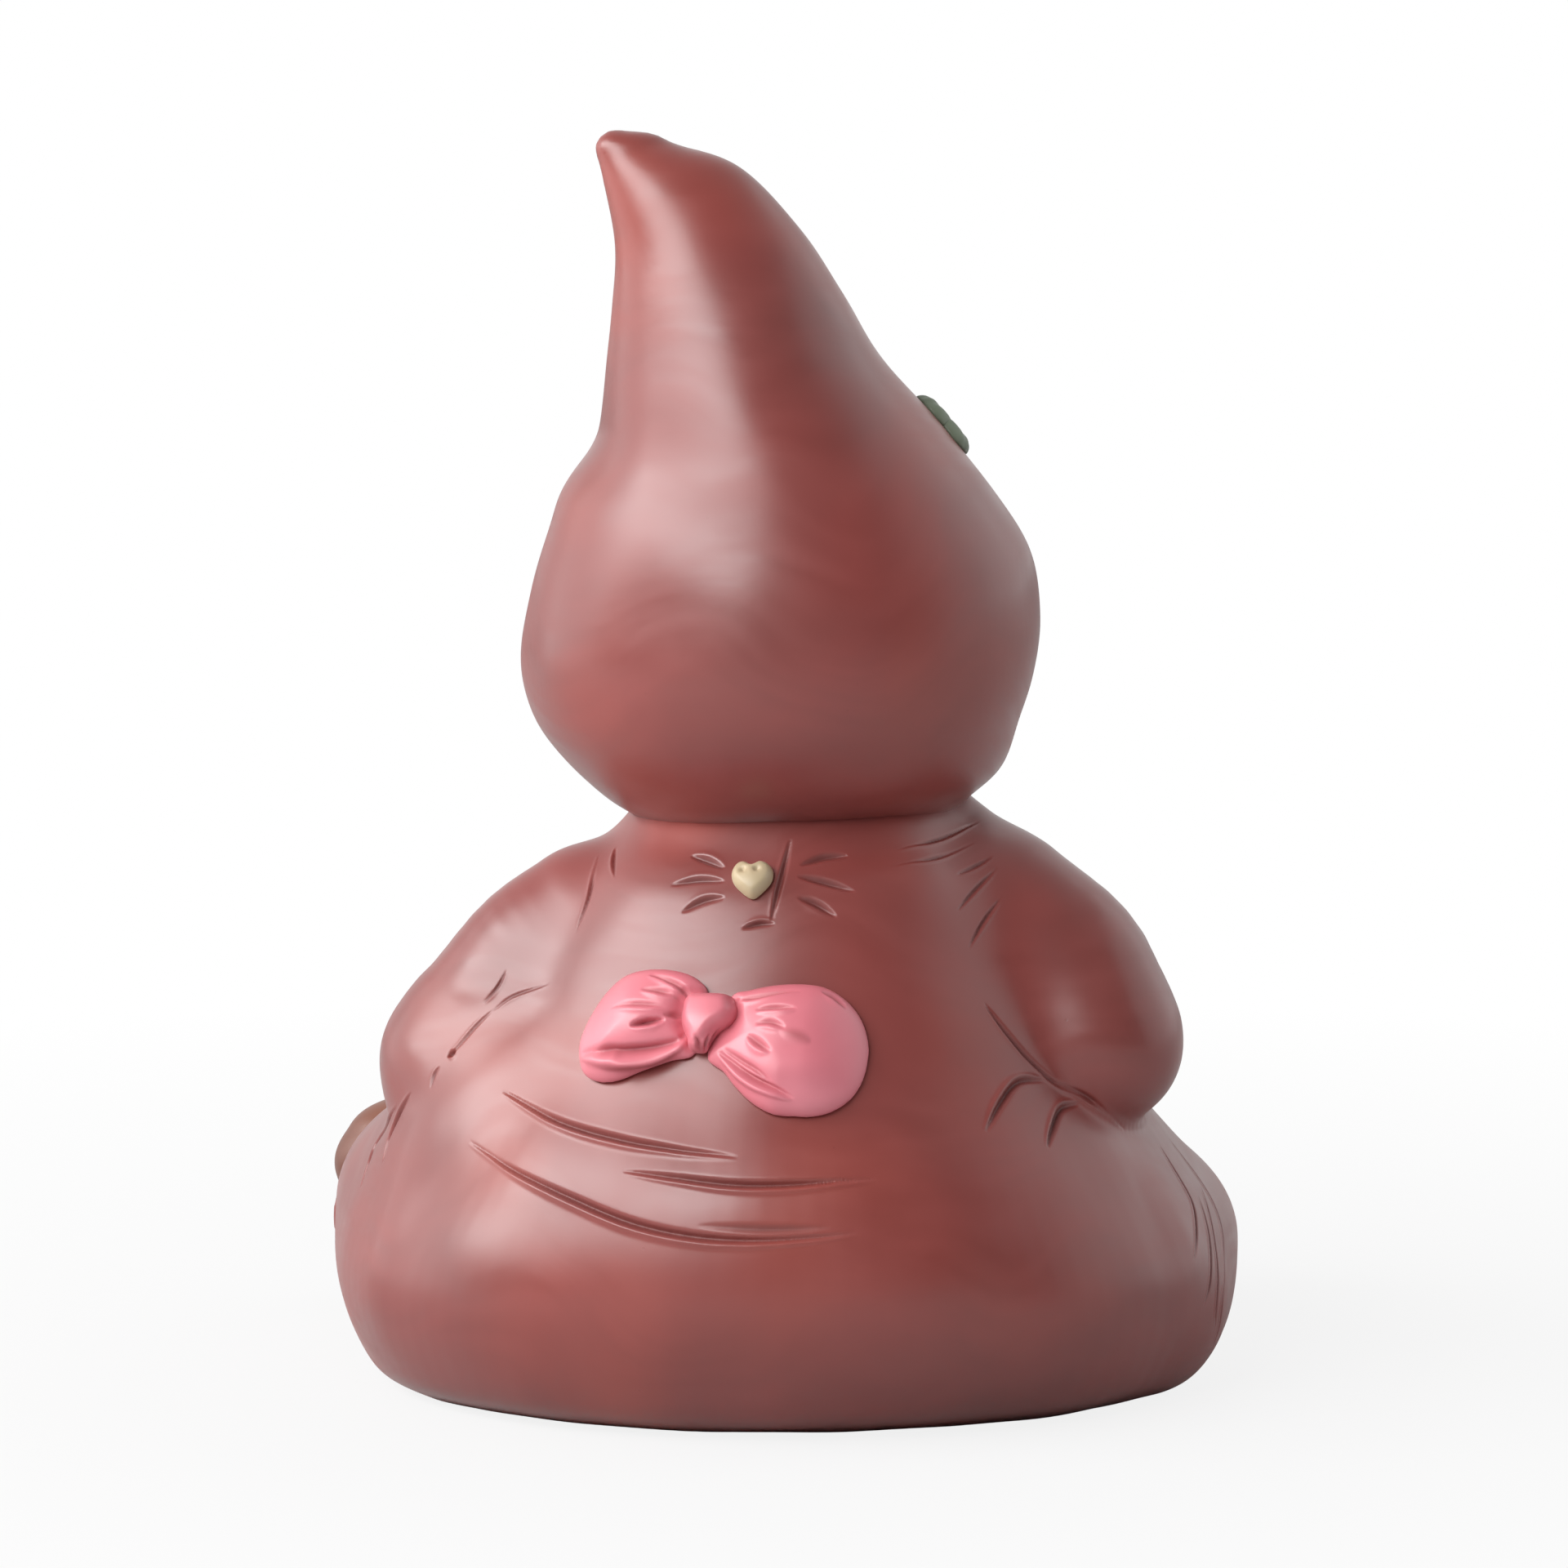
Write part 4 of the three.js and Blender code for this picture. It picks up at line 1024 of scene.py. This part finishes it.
def leaf_height(u, v, edge):
    midrib = 0.25 * np.exp(-((u / 0.35) ** 2))
    veins = 0.08 * np.cos(2.4 * (v - 1.1 * np.abs(u))) * np.clip(np.abs(u) / 1.2, 0, 1)
    return 0.5 + 0.9 * dome(edge, 1.4) - midrib + veins


def add_leaves(hood_tree, material):
    start = head_to_world(LEAF_START[None])[0]
    for name, degrees in LEAF_ANGLES.items():
        angle = math.radians(degrees)
        growth = np.array([0, -math.cos(angle), math.sin(angle)])
        middle = start + (LEAF_LENGTH / 2 - LEAF_OVERLAP) * growth
        patch = Patch(hood_tree, middle - FAR_OUT * X, X, lean=growth)
        pad = cushion(patch, leaf_outline(), leaf_height, pitch=0.16, rounding=0.8, undercut=0.3)
        finish_pad(f"leaf_{name}", pad, material)


def finish_pad(node, pad, material, folds=()):
    """Presses folds into a pad of clay and lets it stand for its CAD node."""
    strokes = [Stroke(photo_rays(pixels), *shape) for pixels, *shape in folds]
    points, quads, _, hollows = press_strokes(*pad, strokes)
    finish_piece(f"{node}_clay", points, quads, material, [node], hollows)


def finish_piece(name, points, quads, material, nodes, hollows=None, polygons=(), blush=None):
    """Makes a mesh of a sculpted form and lets it stand for its CAD nodes."""
    # The hollow of each point, its share in a groove, is where the paint puts painted shade.
    attributes = {"hollow": np.zeros(len(points)) if hollows is None else hollows}
    if blush is not None:
        attributes["blush"] = np.zeros(len(points)) + blush
    piece = make_mesh(name, points, quads, material, polygons, attributes)
    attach(piece, "root")
    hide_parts(*nodes)


# Materials

class Nodes:
    """Short names for making and joining shader nodes."""

    def __init__(self, tree):
        self.tree = tree

    def make(self, kind, inputs=None, **settings):
        node = self.tree.nodes.new(f"ShaderNode{kind}")
        for key, value in settings.items():
            setattr(node, key, value)
        for key, value in (inputs or {}).items():
            self.feed(node.inputs[key], value)
        return node

    def feed(self, socket, value):
        if isinstance(value, bpy.types.NodeSocket):
            self.tree.links.new(value, socket)
        else:
            socket.default_value = value

    def math(self, operation, a, b=0.0):
        return self.make("Math", {0: a, 1: b}, operation=operation).outputs[0]

    def mix(self, share, a, b, blend="MIX"):
        node = self.make("Mix", data_type="RGBA", blend_type=blend)
        for socket, value in zip((node.inputs[0], node.inputs[6], node.inputs[7]), (share, a, b)):
            self.feed(socket, value)
        return node.outputs[2]

    def noise(self, vector, size, detail=3.0, roughness=0.5):
        """Noise whose larger shapes are about so many mm across."""
        inputs = {"Vector": vector, "Scale": 1 / (size * MM), "Detail": detail, "Roughness": roughness}
        return self.make("TexNoise", inputs).outputs["Fac"]

    def ranged(self, value, low, high, to_low=0.0, to_high=1.0):
        inputs = {"Value": value, "From Min": low, "From Max": high, "To Min": to_low, "To Max": to_high}
        return self.make("MapRange", inputs).outputs["Result"]

    def attribute(self, name):
        return self.make("Attribute", attribute_name=name, attribute_type="GEOMETRY").outputs["Fac"]


def new_material(name):
    material = bpy.data.materials.new(name)
    material.use_nodes = True
    return material, Nodes(material.node_tree), material.node_tree.nodes["Principled BSDF"]


# Sizes of the paint's features, in mm
CLOUDS, DRIFTS, SWEEPS, BRUSH_MARKS, FINE_GRAIN, PITS, PIT_GROUPS = 26, 34, 30, 12, 0.6, 4.2, 14
STREAKS = 0.025
ROUGHNESS_RANGE = 0.05
# Painted shade: pressed marks and small pits are darkened towards the deep colour times these shares.
SHADE = (0.52, 0.36, 0.34)  # what is left of each colour in a pressed mark


def painted(name, base, deep, warm, roughness, coat=0.0, blush=None, bump=1.0):
    """Hand-brushed paint on clay: cloudy, with fine brush streaks, and with painted shade in its pressed
    marks and pits.
    """
    material, n, shader = new_material(name)
    place = n.make("TexCoord").outputs["Object"]
    clouds = n.noise(place, CLOUDS, detail=2.0, roughness=0.4)
    aside = n.make("Mapping", {"Vector": place, "Location": (0.3, 0.7, 0.2)}).outputs["Vector"]
    drifts = n.noise(aside, DRIFTS, detail=1.0)
    bend = n.make("TexNoise", {"Vector": place, "Scale": 1 / (SWEEPS * MM), "Detail": 1.0}).outputs["Color"]
    bent = n.make("VectorMath", {0: bend, 1: (0.03, 0.03, 0.03)}, operation="MULTIPLY").outputs["Vector"]
    swept = n.make("VectorMath", {0: place, 1: bent}, operation="ADD").outputs["Vector"]
    stretched = n.make("Mapping", {"Vector": swept, "Scale": (1.0, 1.0, 4.0)}).outputs["Vector"]
    brushed = n.noise(stretched, BRUSH_MARKS, detail=2.0, roughness=0.4)
    fine = n.noise(place, FINE_GRAIN, detail=2.0)
    cells = n.make("TexVoronoi", {"Vector": place, "Scale": 1 / (PITS * MM)}, feature="F1")
    pits = n.ranged(cells.outputs["Distance"], 0.02, 0.06, 1.0, 0.0)
    pits = n.math("MULTIPLY", pits, n.ranged(n.noise(place, PIT_GROUPS), 0.55, 0.6))
    color = n.mix(n.ranged(clouds, 0.35, 0.6), (*deep, 1), (*base, 1))
    color = n.mix(n.ranged(drifts, 0.5, 0.68), color, (*warm, 1))
    value = n.ranged(brushed, 0.25, 0.75, 1 - 2 * STREAKS, 1 + 2 * STREAKS)
    gray = n.make("CombineColor", {0: value, 1: value, 2: value}).outputs[0]
    color = n.mix(1.0, color, gray, "MULTIPLY")
    if blush:
        color = n.mix(n.math("MULTIPLY", n.attribute("blush"), 0.75), color, (*blush, 1))
    # Painted shade: the paint goes darker in the grooves of pressed marks, where shade falls.
    hollow = n.math("MULTIPLY", n.attribute("hollow"), 0.62)
    painted_shade_color = (*(share * part for share, part in zip(SHADE, deep)), 1)
    color = n.mix(hollow, color, painted_shade_color)
    # Painted shade in the small pits as well.
    color = n.mix(n.math("MULTIPLY", pits, 0.12), color, painted_shade_color)
    n.feed(shader.inputs["Base Color"], color)
    rough = n.math("ADD", n.math("MULTIPLY", clouds, 0.4), n.math("MULTIPLY", brushed, 0.6))
    rough = n.ranged(rough, 0.38, 0.62, roughness - ROUGHNESS_RANGE, roughness + ROUGHNESS_RANGE)
    n.feed(shader.inputs["Roughness"], n.math("ADD", rough, n.math("MULTIPLY", hollow, 0.4)))
    if coat:
        shader.inputs["Coat Weight"].default_value = coat
        shader.inputs["Coat Roughness"].default_value = 0.38
    height = n.math("ADD", n.math("MULTIPLY", brushed, 0.25), n.math("MULTIPLY", fine, 0.05))
    height = n.math("SUBTRACT", height, n.math("MULTIPLY", pits, 0.1))
    bumps = n.make("Bump", {"Strength": 0.3 * bump, "Distance": 0.3 * MM, "Height": height})
    n.feed(shader.inputs["Normal"], bumps.outputs["Normal"])
    return material


# Each paint: base, deep and warm colour, and roughness
suit_paint = painted(
    "suit_paint", (0.237, 0.049, 0.043), (0.197, 0.047, 0.042), (0.283, 0.054, 0.042), 0.33, coat=0.4)
skin_paint = painted(
    "skin_paint", (0.62, 0.36, 0.25), (0.55, 0.3, 0.2), (0.66, 0.42, 0.31), 0.45, blush=(0.62, 0.16, 0.13))
bow_paint = painted(
    "bow_paint", (0.7, 0.2, 0.245), (0.65, 0.165, 0.205), (0.74, 0.26, 0.31), 0.36, coat=0.35, bump=0.6)
button_paint = painted(
    "button_paint", (0.56, 0.46, 0.31), (0.48, 0.38, 0.24), (0.66, 0.57, 0.42), 0.4, bump=0.6)
leaf_paint = painted("leaf_paint", (0.11, 0.14, 0.095), (0.075, 0.1, 0.065), (0.2, 0.24, 0.17), 0.42)
shoe_paint = painted(
    "shoe_paint", (0.16, 0.052, 0.03), (0.11, 0.034, 0.02), (0.21, 0.076, 0.045), 0.42, coat=0.15)
sole_paint = painted("sole_paint", (0.055, 0.032, 0.024), (0.035, 0.02, 0.015), (0.09, 0.055, 0.04), 0.55)
eye_glaze = painted(
    "eye_glaze", (0.012, 0.008, 0.006), (0.008, 0.006, 0.005), (0.02, 0.012, 0.01), 0.12, coat=1.0, bump=0.0)
bare_clay = painted("bare_clay", (0.42, 0.2, 0.12), (0.34, 0.15, 0.09), (0.5, 0.27, 0.18), 0.85, bump=2.0)


# Pieces

def on_floor(points):
    """Points with none of them below the floor."""
    return np.column_stack([points[:, :2], np.maximum(points[:, 2], 0)])


def add_suit():
    points, quads = sculpt_suit()
    points = relax(points, quads, 2)
    points = on_floor(roughen(points, vertex_normals(points, quads), size=11, depth=0.24, seed=1))
    tree = tree_of(points, quads)
    strokes = back_strokes() + front_strokes()
    points, quads, polygons, hollows = press_strokes(points, quads, strokes, cuts=3)
    nodes = ["body_shell", "left_arm", "right_arm", "left_leg", "right_leg"]
    finish_piece("suit_clay", on_floor(points), quads, suit_paint, nodes, hollows, polygons)
    add_bow(tree, bow_paint)
    add_heart(tree, button_paint)


def add_hood():
    points, quads = sculpt_hood()
    points = relax(points, quads, 2)
    points = roughen(points, vertex_normals(points, quads), size=12, depth=0.22, seed=5)
    finish_piece("hood_clay", points, quads, suit_paint, ["hood"])
    add_leaves(tree_of(points, quads), leaf_paint)


def add_head():
    points, quads = sculpt_face()
    smile = [Stroke(front_rays(SMILE), width=0.5, depth=0.75, lip=0.25)]
    smile += [Stroke(front_rays(end), width=0.4, depth=0.5, lip=0.1) for end in SMILE_ENDS]
    points, quads, polygons, hollows = press_strokes(relax(points, quads, 2), quads, smile, cuts=2)
    x, _, z = points.T
    blush = 0
    for sign in SIDES.values():
        across, over = (x - sign * CHEEK_X) / BLUSH_HALF[0], (z - CHEEK_Z) / BLUSH_HALF[1]
        blush = blush + np.exp(-(across**2 + over**2))
    points = head_to_world(points)
    finish_piece("head_clay", points, quads, skin_paint, ["head"], hollows, polygons, blush)


def add_nose_and_eyes():
    nose_at = (0, face_y(0, HEAD_MIDDLE[2]) - 1.5, HEAD_MIDDLE[2])
    points, quads = sculpt_bead(nose_at, NOSE_HALF, 0.3)
    finish_piece("nose_clay", points, quads, skin_paint, ["nose"], blush=0.6)
    for side, sign in SIDES.items():
        eye_at = (sign * EYE_X, face_y(EYE_X, EYE_Z) - 0.5, EYE_Z)
        points, quads = sculpt_bead(eye_at, (EYE_RADIUS, EYE_RADIUS, 2.5), 0.2)
        finish_piece(f"{side}_eye_glaze", points, quads, eye_glaze, [f"{side}_eye"])


def add_hands_and_shoes():
    for side in SIDES:
        points, quads = sculpt_hand(side)
        points = relax(points, quads, 2)
        finish_piece(f"{side}_hand_clay", points, quads, skin_paint, [f"{side}_hand"])
        for part, sculpt, paint in (("shoe", sculpt_shoe, shoe_paint), ("sole", sculpt_sole, sole_paint)):
            points, quads = sculpt(side)
            points = relax(on_floor(points), quads, 1)
            finish_piece(f"{side}_{part}_clay", points, quads, paint, [f"{side}_{part}"])


def paint_neck_tube():
    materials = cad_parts["neck_tube"].data.materials
    materials.clear()
    materials.append(bare_clay)


# Camera, light and floor

def placed(name, data, spot, away):
    """A camera or a light at a spot in metres, with its back turned to where away points."""
    piece = bpy.data.objects.new(name, data)
    piece.location = Vector(spot)
    piece.rotation_euler = Vector(away).to_track_quat("Z", "Y").to_euler()
    bpy.context.scene.collection.objects.link(piece)
    return piece


def add_camera():
    data = bpy.data.cameras.new("camera")
    data.sensor_width = SENSOR_WIDTH
    data.lens = SENSOR_WIDTH * CAMERA_DISTANCE * PIXELS_PER_MM / PHOTO_WIDTH
    data.clip_end = 20
    bpy.context.scene.camera = placed("camera", data, camera_at * MM, view_back)


def add_area_light(name, turn, rise, distance, size, power):
    """A soft box aimed at the figure: turn is in degrees to the left as the photographer sees it."""
    around, up = math.radians(turn), math.radians(rise)
    away = np.array([math.sin(around) * math.cos(up), math.cos(around) * math.cos(up), math.sin(up)])
    data = bpy.data.lights.new(name, "AREA")
    data.shape = "RECTANGLE"
    data.size, data.size_y = size
    data.energy = power
    placed(name, data, CAMERA_TARGET * MM + distance * away, away)


def add_world():
    """A white studio, bright behind the figure as the photographer sees it and dim behind the camera."""
    world = bpy.data.worlds.new("world")
    bpy.context.scene.world = world
    world.use_nodes = True
    n = Nodes(world.node_tree)
    background = world.node_tree.nodes["Background"]
    direction = n.make("SeparateXYZ", {0: n.make("TexCoord").outputs["Generated"]}).outputs
    glow = n.ranged(direction["Y"], -0.8, 0.5, WORLD_BRIGHT, WORLD_DIM)
    seen = n.make("LightPath").outputs["Is Camera Ray"]
    n.feed(background.inputs["Strength"], n.math("MAXIMUM", glow, seen))
    background.inputs["Color"].default_value = (1, 1, 1, 1)


def add_floor():
    mesh = bpy.data.meshes.new("floor")
    half = FLOOR_HALF
    corners = [(-half, -half, 0), (half, -half, 0), (half, half, 0), (-half, half, 0)]
    mesh.from_pydata(corners, [], [(0, 1, 2, 3)])
    floor = bpy.data.objects.new("floor", mesh)
    bpy.context.scene.collection.objects.link(floor)
    material, n, shader = new_material("floor_white")
    shader.inputs["Base Color"].default_value = (FLOOR_GRAY, FLOOR_GRAY, FLOOR_GRAY, 1)
    shader.inputs["Roughness"].default_value = 0.9
    white = n.make("Emission", {"Strength": 1.0})
    place = n.make("TexCoord").outputs["Object"]
    away = n.make("VectorMath", {0: place}, operation="LENGTH").outputs["Value"]
    white_share = n.ranged(away, *WHITENING_REACH, FLOOR_WHITENING, 1.0)
    share = n.math("MULTIPLY", n.make("LightPath").outputs["Is Camera Ray"], white_share)
    mixed = n.make("MixShader", {0: share, 1: shader.outputs[0], 2: white.outputs[0]})
    n.feed(material.node_tree.nodes["Material Output"].inputs["Surface"], mixed.outputs[0])
    mesh.materials.append(material)


WORLD_BRIGHT, WORLD_DIM = 0.85, 0.1
FLOOR_HALF = 3.0
FLOOR_GRAY = 0.55
FLOOR_WHITENING = 0.85
WHITENING_REACH = (0.08, 0.3)

add_suit()
add_hood()
add_head()
add_nose_and_eyes()
add_hands_and_shoes()
paint_neck_tube()
add_camera()
add_world()
add_floor()
add_area_light("key", turn=54, rise=33, distance=1.2, size=(1.8, 0.55), power=24.5)
add_area_light("rim_left", turn=105, rise=8, distance=1.0, size=(0.8, 1.0), power=3.2)
add_area_light("rim_right", turn=-103, rise=14, distance=1.1, size=(1.4, 1.4), power=4)
bpy.context.scene.view_settings.view_transform = "Standard"
